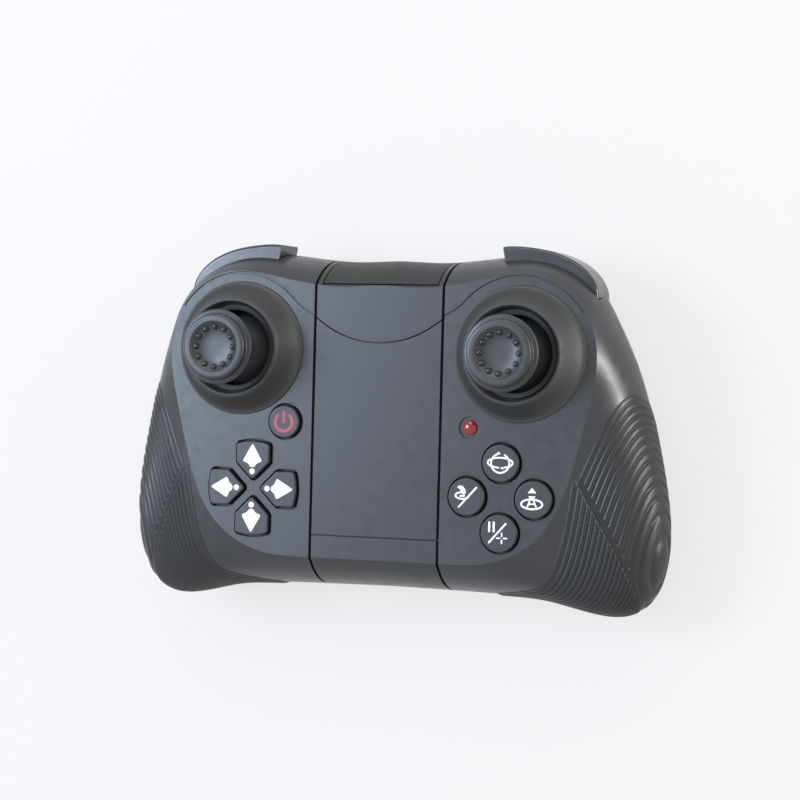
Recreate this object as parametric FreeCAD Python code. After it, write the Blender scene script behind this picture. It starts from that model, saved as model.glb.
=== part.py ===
import FreeCAD, Part
import math
import os

# Hand-held radio transmitter controller, all sizes in millimetres.
# Design frame: X to the right, Y toward the shoulder buttons, Z out of the face,
# with the flat face at Z = 0.  place() moves every piece to the stored frame, where
# the controller lies on its back on Z = 0, centred in X and Y.

V = FreeCAD.Vector
X_AXIS = V(1, 0, 0)
Y_AXIS = V(0, 1, 0)
Z_AXIS = V(0, 0, 1)

# ---- driving dimensions -------------------------------------------------------
wall = 2.0                  # shell thickness
half_width = 78.4           # widest point of the grips, from the middle
shoulder_y = 29.6           # top edge of the shells beside the middle
grip_end_y = -67.0          # lowest point of the grips
button_top_y = 32.4         # outermost line of the shoulder buttons
part_z = -18.0              # parting line between the two shells
back_z = -30.0              # flat of the back, between the grips
rest_z = -38.5              # plane that the grips and the battery hump rest on
crease_angle = 62.0         # how far round its ellipse the wall is cut by the face

strip_half = 18.94          # half width of the recess for the middle strip
strip_gap = 0.75            # dark gap beside the strip
strip_pad_edge = 1.0        # how far the wall behind the strip reaches past the recess
panel_t = 1.6               # thickness of the strip's panels
seam_gap = 0.3              # gap between one strip panel and the next
strip_bottom_y = -47.9      # seam of the lower panel
strip_arc_r = 28.4          # radius of the curved seam
strip_arc_y = 33.8          # centre of the curved seam

stick_offset = 8.17         # from the middle of strip edge and side, toward the strip
stick_y = 3.2
stick_pivot_z = -10.0       # both stick axes cross here
stick_top = 19.4            # top of the cap
bezel_r = 18.5
bezel_rim_r = 13.16
bezel_rim_h = 7.9
bezel_bore_r = 12.2
bezel_skirt_t = 0.9
bezel_mouth_r = 12.5        # inside of the rim, above the ledge
ledge_outer_r = 11.5        # ledge inside the rim, with a fine gap round it
ledge_inner_r = 10.4
ledge_h = 6.4
ledge_t = 2.8
boot_r = 13.0               # outside of the dust boot
boot_t = 0.8
cap_r = 9.0
cap_h = 5.4
cap_lip_r = 10.3            # wider lip below the cap's rim
cap_lip_drop = 2.3          # top of the cap to the top of the lip
cap_dish_r = 7.4
cap_dish_depth = 1.5
shaft_r = 2.4
shaft_in_cap = 2.6          # how far the shaft reaches into its cap
hub_r = 4.6
ring_outer_r = 9.6
ring_inner_r = 6.6
ring_h = 4.6
axle_r = 1.2
fit = 0.05                  # radial running clearance of pins and axles
housing_half = 14.6         # gimbal housing, outside
housing_t = 1.4
housing_corner = 6.5
housing_h = 17.6
sensor_half = 4.0
sensor_t = 2.6

press = 1.0                 # travel of the face buttons
press_room = 0.15           # left above the switch at full travel
proud = 1.3                 # how far the face buttons stand out
hole_gap = 0.6              # gap round a face button
flange_w = 0.5              # how far a button's lip reaches past its hole
flange_t = 1.1
round_r = 5.1               # function buttons
function_x = 36.2
function_y = -35.5
function_step = 9.4
trim_x = -35.8
trim_y = -35.6
trim_step_x = 8.05
trim_step_y = 8.05
trim_half = 4.9
trim_point = 5.8            # button centre to its pointed end
trim_outer = 4.75           # button centre to the outer edge
power_x = -26.7
power_y = -16.9
power_r = 4.5
led_x = 26.9
led_r = 1.9
led_dome = 0.7

board_z = -8.6              # front of the circuit board
board_t = 1.6
board_half = 49.5
board_top_y = -13.2
board_bottom_y = -48.6
tongue_gap = 2.3            # between the board's tongue and the stick sensors
tongue_top_y = 13.0
switch_half = 3.0
switch_h = 3.0
switch_stem_r = 1.6

shoulder_front_z = -8.0
shoulder_h = 12.0
shoulder_gap = 0.35
shoulder_in = 6.0           # depth of a shoulder button from its outer face
shoulder_thin = 1.8         # how much of that depth is gone at its outer end
shoulder_round = 0.9
shoulder_swing = 3.0        # degrees, pressed
shoulder_inset = 19.4       # from the widest point of the body to a button's outer end
shoulder_span = 26.6
shoulder_drop = 10.7        # fall of its outer line, from the middle to the outer end
shoulder_rib = 1.0          # lug and arm end this far inside the button's height
pivot_inset = 3.6           # from a button's inner end to its pivot
pivot_y = 24.2
pivot_pin_r = 1.0
pivot_lug_r = 2.3
arm_half = 1.6
pivot_boss_gap = 0.25
pin_in_front = 2.6          # depth of the pivot pin in its two posts
pin_in_back = 2.0
trigger_offset = 6.5        # from a stick to the switch behind a shoulder button
trigger_half_h = 2.5
trigger_stem_r = 1.0
trigger_stem_len = 1.8

hook_half = 16.6            # phone hook
hook_t = 2.6
hook_gap = 0.35
hook_shell_gap = 0.3        # under the hook's curved cover
hook_front_y = 21.5         # lower end of the hook's front lip
seat_y = 16.9               # floor that the phone stands on
jaw_y = 23.6                # flat underside of the hook, above the phone
seat_half = 15.9
seat_back_z = -12.6
seat_t = 1.2
pad_t = 1.0
slide_gap = 0.15
slide_t = 1.5
slide_len = 58.0
slide_half = 10.5
slide_front_z = -15.5
channel_lip = 1.6
channel_rim = 1.0           # channel wall in front of the slide
channel_t = 1.2
guide_foot_w = 5.0
spring_roll_r = 2.6         # rolled flat spring of the hook
spring_roll_bore = 1.3
spring_roll_w = 8.0
spring_pin_r = 1.25

bay_top_y = 15.6            # battery bay
bay_bottom_y = -29.0
bay_wall = 1.5
battery_r = 7.1
battery_len = 49.2
battery_nub_r = 2.7
battery_nub_h = 1.2
contact_t = 0.4
contact_half = 5.0
spring_wire_r = 0.35
spring_r = 3.0
spring_len = 6.0            # room for a battery spring
spring_turns = 3
cell_gap = 0.4              # between two cells
hump_rim = 3.0              # hump round the battery door
hump_corner = 4.0
hump_edge = 1.2
door_t = 1.9
door_gap = 0.25
door_rest = 0.15            # how far the door stays back from the resting plane
door_rim = 1.2              # door beyond the bay, at each side
scoop_r = 5.0               # finger scoop in the door
scoop_half = 6.0
scoop_depth = 0.8
hinge_pin_r = 0.8
hinge_pin_len = 1.1
latch_half = 5.0
latch_len = 2.2

screw_r = 1.1
screw_head_r = 2.1
screw_head_h = 1.5
post_r = 3.1
screw_tip_z = -9.0
screw_seat_z = -23.5
screw_well_r = 2.5
shell_screw_places = [(61.0, -16.0), (61.0, -52.5), (24.5, -53.4)]
board_screw_places = [(17.5, 8.0), (17.5, -44.5), (47.0, -19.0)]
board_post_r = 2.2
board_screw_r = 0.8
board_screw_len = 4.5
board_screw_head_r = 1.6
board_screw_head_h = 1.1
buzzer_place = (36.0, -24.0)
buzzer_r = 4.5
buzzer_h = 3.5
antenna_r = 0.8
antenna_len = 22.0
antenna_inset = 3.5         # from the side edge of the board
tuner_inset = 9.5           # the chip next to the antenna

groove_r = 20.9             # fine curved groove round each stick
groove_w = 0.6
groove_d = 0.35
groove_start = 33.0         # degrees, from the outer side
groove_end = 138.0
groove_back_r = 16.0        # reversed bend where the groove runs off to the strip

# ---- places that follow from them -----------------------------------------------
reach = 100.0               # further than any piece, for cutting blocks
base_height = -rest_z
centre_y = (button_top_y + grip_end_y) / 2
stick_x = (strip_half + half_width) / 2 - stick_offset
tongue_half = stick_x - housing_half - sensor_t - tongue_gap
trigger_x = stick_x + trigger_offset
shoulder_outer_x = half_width - shoulder_inset
shoulder_inner_x = shoulder_outer_x - shoulder_span
pivot_x = shoulder_inner_x + pivot_inset
CHIPS = [(-4, -22, 5.0, 5.0, 1.2), (24, -30, 3.5, 2.5, 1.2), (-24, -28, 4.5, 4.5, 1.6),
         (26, -42, 3.0, 1.6, 1.4), (-board_half + tuner_inset, -44, 2.5, 2.0, 1.0),
         (0, 4, 4.0, 3.0, 1.0)]
SHOULDER_LINE = [(0, 0.01), (0.21, 0), (0.474, 0.093), (0.684, 0.262), (0.872, 0.551), (1, 1),
                 (0.996, 1.45)]
bay_half = (battery_len + battery_nub_h + spring_len) / 2 + contact_t
contact_x = bay_half - contact_t
bay_mid_y = (bay_top_y + bay_bottom_y) / 2
battery_step = 2 * battery_r + cell_gap
door_half = bay_half + door_rim
door_z = rest_z + door_rest
door_inner_z = door_z + door_t
battery_z = door_inner_z + 0.3 + battery_r
bay_ceiling_z = battery_z + battery_r + 0.05
hinge_y = bay_bottom_y - 0.4
hinge_z = door_z + door_t / 2
door_top_y = bay_top_y + 1.0
hook_back_z = part_z - 1.7
lug_front_z = shoulder_front_z - shoulder_rib
lug_back_z = shoulder_front_z - shoulder_h + shoulder_rib
pin_front_z = lug_front_z + pin_in_front
pin_back_z = lug_back_z - pin_in_back
axle_reach = housing_half + sensor_t - 0.6


# ---- small helpers --------------------------------------------------------------
def place(shape):
    """Move a finished shape from the design frame to the stored frame."""
    moved = shape.copy()
    moved.translate(V(0, -centre_y, base_height))
    return moved


def save(name, shape):
    place(shape).exportStep("parts/" + name + ".step")


def box(x0, x1, y0, y1, z0, z1):
    return Part.makeBox(x1 - x0, y1 - y0, z1 - z0, V(x0, y0, z0))


def mid_box(half, y0, y1, z0, z1):
    return box(-half, half, y0, y1, z0, z1)


def cyl(r, h, x, y, z, axis=Z_AXIS):
    return Part.makeCylinder(r, h, V(x, y, z), axis)


def mirrored(shape):
    return shape.mirror(V(0, 0, 0), X_AXIS)


def both(shape):
    """The shape and its mirror image, as one list of solids."""
    return [shape, mirrored(shape)]


def fused(shapes):
    first = shapes[0]
    return first.fuse(shapes[1:]) if len(shapes) > 1 else first


def group(shapes):
    return Part.makeCompound(shapes)


def turned(points):
    """Solid of revolution about Z from (radius, height) points."""
    wire = Part.makePolygon([V(r, 0, z) for r, z in points + points[:1]])
    return Part.Face(wire).revolve(V(0, 0, 0), Z_AXIS, 360)


def moved(shape, x, y, z=0):
    copy = shape.copy()
    copy.translate(V(x, y, z))
    return copy


# ---- body form ------------------------------------------------------------------
# Right half of three outlines, from the top middle to the bottom middle, with the
# same number of stations in each: the widest line with its height, the crease round
# the flat face, and the flat of the back.
SILHOUETTE = [
    (0, shoulder_y - 0.9, part_z), (21, shoulder_y - 0.9, part_z),
    (38, shoulder_y + 0.6, part_z + 0.5), (half_width - 27.8, shoulder_y - 2.6, part_z + 3),
    (half_width - 19.7, shoulder_y - 8.8, part_z + 3.3), (half_width - 14.8, 12.4, part_z + 2.5),
    (half_width - 8.4, -2.3, part_z + 1), (half_width - 3, -23, part_z + 0.4),
    (half_width, -43, part_z - 0.6), (half_width - 2.1, grip_end_y + 9, part_z - 1.6),
    (half_width - 7.8, grip_end_y + 1.6, part_z - 1.5),
    (half_width - 16.9, grip_end_y, part_z - 1.2), (48.5, grip_end_y + 2.9, part_z - 0.5),
    (36, grip_end_y + 4.1, part_z), (18, grip_end_y + 4.5, part_z),
    (0, grip_end_y + 4.7, part_z)]
crease_top_y = shoulder_y - 8.4
crease_bottom_y = grip_end_y + 12.9
FACE_CREASE = [
    (0, crease_top_y), (20, crease_top_y + 0.1), (37, crease_top_y + 3.2),
    (47.5, crease_top_y + 2.5), (half_width - 22.1, crease_top_y - 3.1),
    (half_width - 17.6, 9.6), (half_width - 16.8, -2), (half_width - 19.8, -16.5),
    (half_width - 23, -29), (half_width - 26.9, -39), (half_width - 31.9, -46),
    (half_width - 38.4, crease_bottom_y + 3.5), (33, crease_bottom_y + 0.9),
    (25, crease_bottom_y + 0.1), (12, crease_bottom_y), (0, crease_bottom_y)]
BACK_FLAT = [
    (0, 20), (17, 20), (31, 20), (39, 18.5), (43.5, 14.5), (45, 7), (44.5, -2),
    (42.5, -13), (40, -24), (38, -33), (35, -40.5), (31, -46), (26, -50),
    (19, -52), (9, -52.6), (0, -52.6)]
GRIP_X = half_width - 19.0
GRIP_Y = -39.0
GRIP_SPREAD_X = 12.5
GRIP_SPREAD_Y = 26.0
GRIP_HILL = 17.6            # extra depth in the middle of a grip, before it is cut flat
FRONT_RINGS = 5
BACK_RINGS = 7


def outline(stations, inset):
    """Closed loop of points along an outline, moved inward by the inset."""
    curve = Part.BSplineCurve()
    curve.interpolate(
        Points=[V(*station) for station in stations],
        Parameters=[float(i) for i in range(len(stations))])
    steps = 2 * (len(stations) - 1)
    half = [curve.value(0.5 * i) for i in range(steps + 1)]
    half[0].x = 0
    half[-1].x = 0
    loop = half + [V(-p.x, p.y, p.z) for p in reversed(half[1:-1])]
    result = []
    for i, p in enumerate(loop):
        along = loop[(i + 1) % len(loop)] - loop[i - 1]
        inward = V(along.y, -along.x, 0)
        inward.normalize()
        result.append(p + inward * inset)
    return result


def ring(inner, outer, share, height):
    """Loop between two outlines; height is a function of the point and the outer height."""
    loop = []
    for a, b in zip(inner, outer):
        p = a + (b - a) * share
        p.z = height(p, b.z)
        loop.append(p)
    return loop


def grip_depth(p):
    """How much deeper the back is at a point: a smooth hill over each grip."""
    away = ((abs(p.x) - GRIP_X) / GRIP_SPREAD_X) ** 2 + ((p.y - GRIP_Y) / GRIP_SPREAD_Y) ** 2
    return GRIP_HILL * math.exp(-away)


def skin(inset):
    """Closed body form, moved inward by the inset: rings from the face to the back."""
    side = outline(SILHOUETTE, inset)
    face = outline(FACE_CREASE, inset)
    back = outline(BACK_FLAT, inset)
    top = math.radians(crease_angle)
    rings = []
    for i in range(FRONT_RINGS):
        angle = top * (1 - i / FRONT_RINGS)
        share = (math.cos(angle) - math.cos(top)) / (1 - math.cos(top))
        rise = math.sin(angle) / math.sin(top)
        rings.append(ring(face, side, share, lambda p, z: z + (-inset - z) * rise))
    for i in range(BACK_RINGS + 1):
        angle = math.pi / 2 * i / BACK_RINGS
        deep = math.sin(angle)
        hill = deep * (1 - deep ** 8)
        rings.append(ring(back, side, math.cos(angle), lambda p, z: (
            z + (back_z + inset - z) * deep - grip_depth(p) * hill)))
    return skin_solid(rings)


def skin_solid(rings):
    """Smooth solid through closed rings, with flat ends on the first and last."""
    around = len(rings[0])
    poles = [[None] * len(rings) for _ in range(around)]
    for j, loop in enumerate(rings):
        for i, p in enumerate(loop):
            bend = loop[i - 1] - p * 2 + loop[(i + 1) % around]
            poles[i][j] = p - bend * (1 / 6)
    ends = [4] + [1] * (len(rings) - 4) + [4]
    surface = Part.BSplineSurface()
    surface.buildFromPolesMultsKnots(
        poles, [1] * (around + 1), ends, list(range(around + 1)),
        list(range(len(ends))), True, False, 3, 3)
    last = len(ends) - 1
    halves = []
    for start, stop in ((0, around / 2), (around / 2, around)):
        patch = surface.copy()
        patch.segment(start, stop, 0, last)
        halves.append(patch.toShape())
    rims = [e for half in halves for e in half.Edges]
    caps = []
    for z in (rings[0][0].z, rings[-1][0].z):
        flat = [e for e in rims if abs(e.BoundBox.ZMin - z) + abs(e.BoundBox.ZMax - z) < 0.01]
        caps.append(Part.Face(Part.Wire(Part.__sortEdges__(flat))))
    shell = Part.Shell(halves + caps)
    shell.sewShape()
    solid = Part.Solid(shell)
    if solid.Volume < 0:
        solid.reverse()
    return solid


def body(inset):
    """Body form with the grips cut flat where they rest."""
    flat = rest_z + inset
    return skin(inset).common(mid_box(reach, -reach, reach, flat, 10))


def layer(inset_a, inset_b, region):
    """The part of a region that lies between two insets of the body form."""
    return region.common(skin(inset_a)).cut(skin(inset_b))


# ---- shells -----------------------------------------------------------------------
def battery_hump():
    half = door_half + hump_rim
    block = mid_box(half, bay_bottom_y - hump_rim - door_rim, bay_top_y + hump_rim + door_rim,
                    rest_z, back_z + wall + 1)
    upright = [e for e in block.Edges if e.BoundBox.ZLength > 1]
    block = block.makeFillet(hump_corner, upright)
    under = [e for e in block.Edges if e.BoundBox.ZMax < rest_z + 0.1]
    return block.makeFillet(hump_edge, under)


def battery_walls():
    return mid_box(bay_half + bay_wall, bay_bottom_y - bay_wall, bay_top_y + bay_wall,
                   rest_z - 5, bay_ceiling_z + bay_wall)


def battery_space():
    """Inside of the bay, the recess of its door and the holes of the door's pins."""
    bay = mid_box(bay_half, bay_bottom_y, bay_top_y, rest_z - 5, bay_ceiling_z)
    recess = mid_box(door_half + door_gap, hinge_y - door_t / 2 - door_gap,
                     door_top_y + door_gap, rest_z - 5, door_inner_z)
    holes = cyl(hinge_pin_r + fit, 2 * (door_half + hinge_pin_len + 0.2),
                -door_half - hinge_pin_len - 0.2, hinge_y, hinge_z, X_AXIS)
    notch = mid_box(latch_half + door_gap, door_top_y, door_top_y + latch_len + door_gap,
                    rest_z - 5, door_inner_z)
    return fused([bay, recess, holes, notch])


def strip_region(half, low_z=part_z):
    return mid_box(half, -reach, reach, low_z, reach)


def hook_region(grow):
    return mid_box(hook_half + grow, hook_front_y - grow, 40, hook_back_z - grow, 10)


def seat_block():
    """Tray behind the phone hook, with its walls."""
    return mid_box(seat_half + seat_t, seat_y - seat_t, 40, seat_back_z - seat_t, -wall / 2)


def seat_space():
    return mid_box(seat_half, seat_y, 40, seat_back_z, -panel_t - wall)


def slide_exit():
    half = slide_half + slide_gap + channel_lip + 2 * slide_gap
    low = slide_front_z - 2 * slide_t - 3 * slide_gap
    high = slide_front_z + channel_rim + 0.4 + 2 * slide_gap
    return mid_box(half, seat_y - seat_t - 0.7, 40, low, high)


def stick_places():
    return [(-stick_x, stick_y), (stick_x, stick_y)]


def post(x, y, r, z0, z1):
    return cyl(r, z1 - z0, x, y, z0)


def shell_posts():
    """Screw posts, pivot posts and board posts, before the body form trims them."""
    posts = []
    for x, y in shell_screw_places:
        posts.append(post(x, y, post_r, -60, 10))
    for x, y in board_screw_places:
        posts.append(post(x, y, board_post_r, board_z, 10))
    posts.append(post(pivot_x, pivot_y, pivot_lug_r, lug_front_z + pivot_boss_gap, 10))
    posts.append(post(pivot_x, pivot_y, pivot_lug_r, -60, lug_back_z - pivot_boss_gap))
    return group([s for p in posts for s in both(p)])


def shell_holes():
    """Everything drilled or cut through the shells."""
    cuts = [battery_space(), slide_exit(), seat_space()]
    for x, y in shell_screw_places:
        pilot = post(x, y, screw_r - 0.2, part_z, screw_tip_z)
        clear = post(x, y, screw_r + 0.15, screw_seat_z, part_z)
        well = post(x, y, screw_well_r, -60, screw_seat_z)
        cuts += both(fused([pilot, clear, well]))
    for x, y in board_screw_places:
        cuts += both(post(x, y, board_screw_r - 0.1, board_z, board_z + board_screw_len))
    cuts += both(post(pivot_x, pivot_y, pivot_pin_r + fit, pin_back_z, pin_front_z))
    for x, y in stick_places():
        cuts.append(post(x, y, bezel_bore_r + bezel_skirt_t + 0.1, -wall - 1, 5))
    for x, y, profile in face_buttons():
        hole = profile(hole_gap)
        hole.translate(V(x, y, -wall - 1))
        cuts.append(hole.extrude(V(0, 0, 10)))
        relief = profile(hole_gap + flange_w + 0.2)
        relief.translate(V(x, y, -wall - 4))
        cuts.append(relief.extrude(V(0, 0, 4)))
    cuts.append(post(led_x, power_y, led_r + fit, -wall - 1, 5))
    cuts.append(post(led_x, power_y, led_r + 1.1, -0.4, 5))
    cuts += both(shoulder_slot())
    cuts += both(pivot_room())
    for channel_part in stick_groove():
        cuts += both(channel_part)
    return cuts


def shells():
    """Front and back shell, split at the parting line."""
    form = body(0).fuse(battery_hump())
    strip_pad = strip_region(strip_half + strip_pad_edge).common(form).cut(skin(panel_t + wall))
    ring_wall = layer(0, hook_t + hook_shell_gap + seat_t,
                      mid_box(strip_half + strip_pad_edge, seat_y, 40, hook_back_z - 2,
                              part_z + 6))
    hollow = body(wall).cut(battery_walls())
    whole = form.cut(hollow)
    inside = form.common(group([shell_posts(), seat_block()]))
    whole = whole.fuse([strip_pad, ring_wall] + inside.Solids)
    recess = strip_region(strip_half).cut(skin(panel_t))
    hook_space = hook_region(hook_gap).cut(skin(hook_t + hook_shell_gap))
    whole = whole.cut([recess, hook_space] + shell_holes())
    below = mid_box(reach, -reach, reach, -reach, part_z)
    front = whole.cut(below)
    back = whole.common(below)
    return largest(front), largest(back)


def largest(shape):
    return max(shape.Solids, key=lambda s: s.Volume)


def ring_band(x, y, r, start, stop):
    """Shallow curved channel in the face: part of a flat ring, angles in degrees."""
    band = Part.makeCylinder(r + groove_w / 2, 2, V(x, y, -groove_d), Z_AXIS, stop - start)
    band.rotate(V(x, y, 0), Z_AXIS, start)
    return band.cut(post(x, y, r - groove_w / 2, -1, 3))


def stick_groove():
    """Fine groove round the right stick, turning back to run off to the strip."""
    turn = math.radians(groove_end)
    reach = groove_r + groove_back_r
    x = stick_x + reach * math.cos(turn)
    y = stick_y + reach * math.sin(turn)
    stop = groove_end - 180
    start = -math.degrees(math.acos((strip_half - 0.5 - x) / groove_back_r))
    return [ring_band(stick_x, stick_y, groove_r, groove_start, groove_end),
            ring_band(x, y, groove_back_r, start, stop)]


# ---- strip panels and phone hook ------------------------------------------------------
def strip_panels():
    band = layer(0, panel_t, strip_region(strip_half - strip_gap, part_z + 0.3))
    arc_inner = post(0, strip_arc_y, strip_arc_r - seam_gap / 2, -reach, reach)
    arc_outer = post(0, strip_arc_y, strip_arc_r + seam_gap / 2, -reach, reach)
    low = strip_region(strip_half + 1)
    low.translate(V(0, strip_bottom_y - reach, 0))
    badge = band.common(arc_inner).cut(hook_region(hook_gap))
    rest = band.cut(arc_outer)
    lower = rest.common(low)
    center = rest.cut(moved(low, 0, seam_gap))
    center = center.common(mid_box(reach, -reach, strip_arc_y, -reach, reach))
    return largest(badge), largest(center), largest(lower)


def hook():
    """Curved cover that follows the top edge, with a flat jaw behind its front lip."""
    jaw = mid_box(seat_half - 0.3, jaw_y, 40, seat_back_z + 0.4, -hook_t / 2)
    return layer(0, hook_t, hook_region(0)).fuse(jaw.common(skin(hook_t / 2)))


def hook_under_y():
    return SILHOUETTE[0][1] - hook_t


def clamp_parts():
    """Two sliding stages of the phone hook, nested in a fixed guide."""
    top = hook_under_y()
    low = top - slide_len
    back = slide_front_z - slide_t
    slider = mid_box(slide_half, low, top + 1, back, slide_front_z).cut(hook())
    slider = largest(slider)
    carriage = channel(slide_half, back, slide_front_z, low, top - channel_t, slide_t)
    half = slide_half + slide_gap + channel_lip
    c_back = back - slide_gap - slide_t
    c_front = slide_front_z + slide_gap + channel_rim
    guide = channel(half, c_back, c_front, low - 2, seat_y - seat_t - 1, channel_t)
    floor = bay_ceiling_z + bay_wall
    base = c_back - slide_gap - channel_t
    feet = [mid_box(half, y, y + guide_foot_w, floor, base)
            for y in (bay_bottom_y, bay_top_y - guide_foot_w - 1)]
    stop = mid_box(half + slide_gap + channel_lip, low - 3.5, low - 2, base, c_front)
    return slider, carriage, fused([guide, stop] + feet)


def channel(half, back, front, y0, y1, t):
    """C-shaped channel that holds a flat slide on three sides, open at both ends."""
    outer = mid_box(half + slide_gap + channel_lip, y0, y1, back - slide_gap - t,
                    front + slide_gap + channel_rim)
    inner = mid_box(half + slide_gap, y0 - 1, y1 + 1, back - slide_gap, front + slide_gap)
    slot = mid_box(half - channel_lip, y0 - 1, y1 + 1, back, front + 5)
    return outer.cut([inner, slot])


def clamp_spring():
    """Rolled flat spring below the slides, and the pin that it turns on."""
    y = hook_under_y() - slide_len - 3.5 - spring_roll_r - 0.2
    z = slide_front_z - channel_t
    start = -spring_roll_w / 2
    roll = cyl(spring_roll_r, spring_roll_w, start, y, z, X_AXIS)
    roll = roll.cut(cyl(spring_roll_bore, spring_roll_w, start, y, z, X_AXIS))
    pin = cyl(spring_pin_r, 2 * slide_half, -slide_half, y, z, X_AXIS)
    return roll, pin


def jaw_pads():
    half = seat_half - 0.5
    seat = mid_box(half, seat_y, seat_y + pad_t, seat_back_z + 0.4, -panel_t - wall - 0.4)
    under = mid_box(half, jaw_y - pad_t, jaw_y, seat_back_z + 0.4, -hook_t - pad_t)
    return seat, under.common(skin(hook_t + 0.2))


# ---- sticks ---------------------------------------------------------------------------
def bezel():
    skirt_r = bezel_bore_r + bezel_skirt_t
    flank = [(bezel_r, 0), (bezel_r - 0.2, 0.5)]
    run = bezel_r - 0.2 - bezel_rim_r - 0.7
    for i in range(1, 9):
        share = i / 8
        flank.append((bezel_r - 0.2 - run * share,
                      0.5 + (bezel_rim_h - 1.0) * (1 - math.cos(share * math.pi / 2)) ** 0.9))
    rim = [(bezel_rim_r + 0.45, bezel_rim_h - 0.12), (bezel_rim_r, bezel_rim_h),
           (bezel_mouth_r + 0.2, bezel_rim_h - 0.15), (bezel_mouth_r, bezel_rim_h - 0.6)]
    low = ledge_h - ledge_t
    ledge = [(bezel_mouth_r, ledge_h - 1.4), (ledge_outer_r, ledge_h - 1.4),
             (ledge_outer_r - 0.05, ledge_h - 0.2), (ledge_outer_r - 0.35, ledge_h),
             (ledge_inner_r + 0.3, ledge_h - 0.1), (ledge_inner_r, ledge_h - 0.5),
             (ledge_inner_r, low + 1.0), (ledge_inner_r + 0.4, low + 0.6)]
    inside = [(bezel_bore_r, low), (bezel_bore_r, -wall), (skirt_r, -wall), (skirt_r, 0)]
    return turned(flank + rim + ledge + inside)


def stick_cap():
    top = stick_top
    low = top - cap_h
    lip = top - cap_lip_drop
    under = [(0, low + shaft_in_cap), (shaft_r, low + shaft_in_cap), (shaft_r, low),
             (shaft_r + 1.2, low), (cap_lip_r - 1.7, low + 1.1), (cap_lip_r - 0.4, lip - 1.3)]
    flange = [(cap_lip_r, lip - 0.8), (cap_lip_r, lip - 0.4), (cap_lip_r - 0.4, lip - 0.05),
              (cap_r + 0.35, lip + 0.1), (cap_r + 0.05, lip + 0.4)]
    rim = [(cap_r, top - 1.2), (cap_r - 0.15, top - 0.55), (cap_r - 0.5, top - 0.15),
           (cap_r - 0.95, top), (cap_dish_r, top), (0, top)]
    cap = turned(under + flange + rim)
    ball_r = (cap_dish_r ** 2 + cap_dish_depth ** 2) / (2 * cap_dish_depth)
    return cap.cut(Part.makeSphere(ball_r, V(0, 0, top - cap_dish_depth + ball_r)))


def stick_shaft():
    hub = Part.makeSphere(hub_r, V(0, 0, stick_pivot_z))
    length = stick_top - cap_h + shaft_in_cap - stick_pivot_z
    pins = cyl(axle_r, 2 * ring_outer_r - 1, 0, -ring_outer_r + 0.5, stick_pivot_z, Y_AXIS)
    return fused([hub, post(0, 0, shaft_r, stick_pivot_z, stick_pivot_z + length), pins])


def stick_boot():
    """Dust boot: a spherical dome centred where the stick's axes cross."""
    centre = V(0, 0, stick_pivot_z)
    low = stick_pivot_z + boot_r * 0.5
    dome = Part.makeSphere(boot_r, centre).cut(Part.makeSphere(boot_r - boot_t, centre))
    dome = dome.common(mid_box(20, -20, 20, low, 20))
    return dome.cut(post(0, 0, shaft_r, -20, 20))


def gimbal_ring():
    z = stick_pivot_z - ring_h / 2
    body_ring = post(0, 0, ring_outer_r, z, z + ring_h)
    axles = cyl(axle_r, 2 * axle_reach, -axle_reach, 0, stick_pivot_z, X_AXIS)
    ring_shape = body_ring.fuse(axles).cut(post(0, 0, ring_inner_r, z - 1, z + ring_h + 1))
    bore = cyl(axle_r + fit, 40, 0, -20, stick_pivot_z, Y_AXIS)
    return ring_shape.cut(bore)


def rounded_block(half, corner, z0, z1):
    """Square block about the middle with rounded upright edges."""
    block = mid_box(half, -half, half, z0, z1)
    return block.makeFillet(corner, [e for e in block.Edges if e.BoundBox.ZLength > 1])


def gimbal_housing():
    z = -wall
    outer = rounded_block(housing_half, housing_corner, z - housing_h, z)
    inner = rounded_block(housing_half - housing_t, housing_corner - housing_t,
                          z - housing_h + housing_t, z + 1)
    bore = cyl(axle_r + fit, 60, -30, 0, stick_pivot_z, X_AXIS)
    return outer.cut([inner, bore])


def axle_sensor(side):
    """Angle sensor outside the housing, round the end of the ring's axle."""
    x0 = housing_half if side > 0 else -housing_half - sensor_t
    block = box(x0, x0 + sensor_t, -sensor_half, sensor_half,
                stick_pivot_z - sensor_half, stick_pivot_z + sensor_half)
    return block.cut(cyl(axle_r + fit, 2 * axle_reach, -axle_reach, 0, stick_pivot_z, X_AXIS))


def ring_sensor():
    block = box(-1.8, 1.8, ring_outer_r - 0.6, ring_outer_r + 0.8,
                stick_pivot_z - 1.8, stick_pivot_z + 1.8)
    return block.cut(post(0, 0, ring_outer_r, -40, 10))


# ---- buttons --------------------------------------------------------------------------
def pentagon(grow, turn):
    """Trim button seen from the front: pointed toward the middle of the pad."""
    corner = 0.9
    bow = 0.5
    side_y = trim_half - trim_point
    left = V(-trim_half, trim_outer - bow, 0)
    right = V(trim_half, trim_outer - bow, 0)
    edges = [Part.Arc(left, V(0, trim_outer + bow / 2, 0), right).toShape(),
             Part.makeLine(right, V(trim_half, side_y, 0)),
             Part.makeLine(V(trim_half, side_y, 0), V(0, -trim_point, 0)),
             Part.makeLine(V(0, -trim_point, 0), V(-trim_half, side_y, 0)),
             Part.makeLine(V(-trim_half, side_y, 0), left)]
    face = Part.Face(Part.Wire(edges))
    face = face.makeOffset2D(-corner).makeOffset2D(corner + grow)
    face.rotate(V(0, 0, 0), Z_AXIS, turn)
    return face


def disc(r):
    return Part.Face(Part.Wire(Part.makeCircle(r)))


def round_profile(r):
    return lambda grow: disc(r + grow)


def trim_profile(turn):
    return lambda grow: pentagon(grow, turn)


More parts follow.
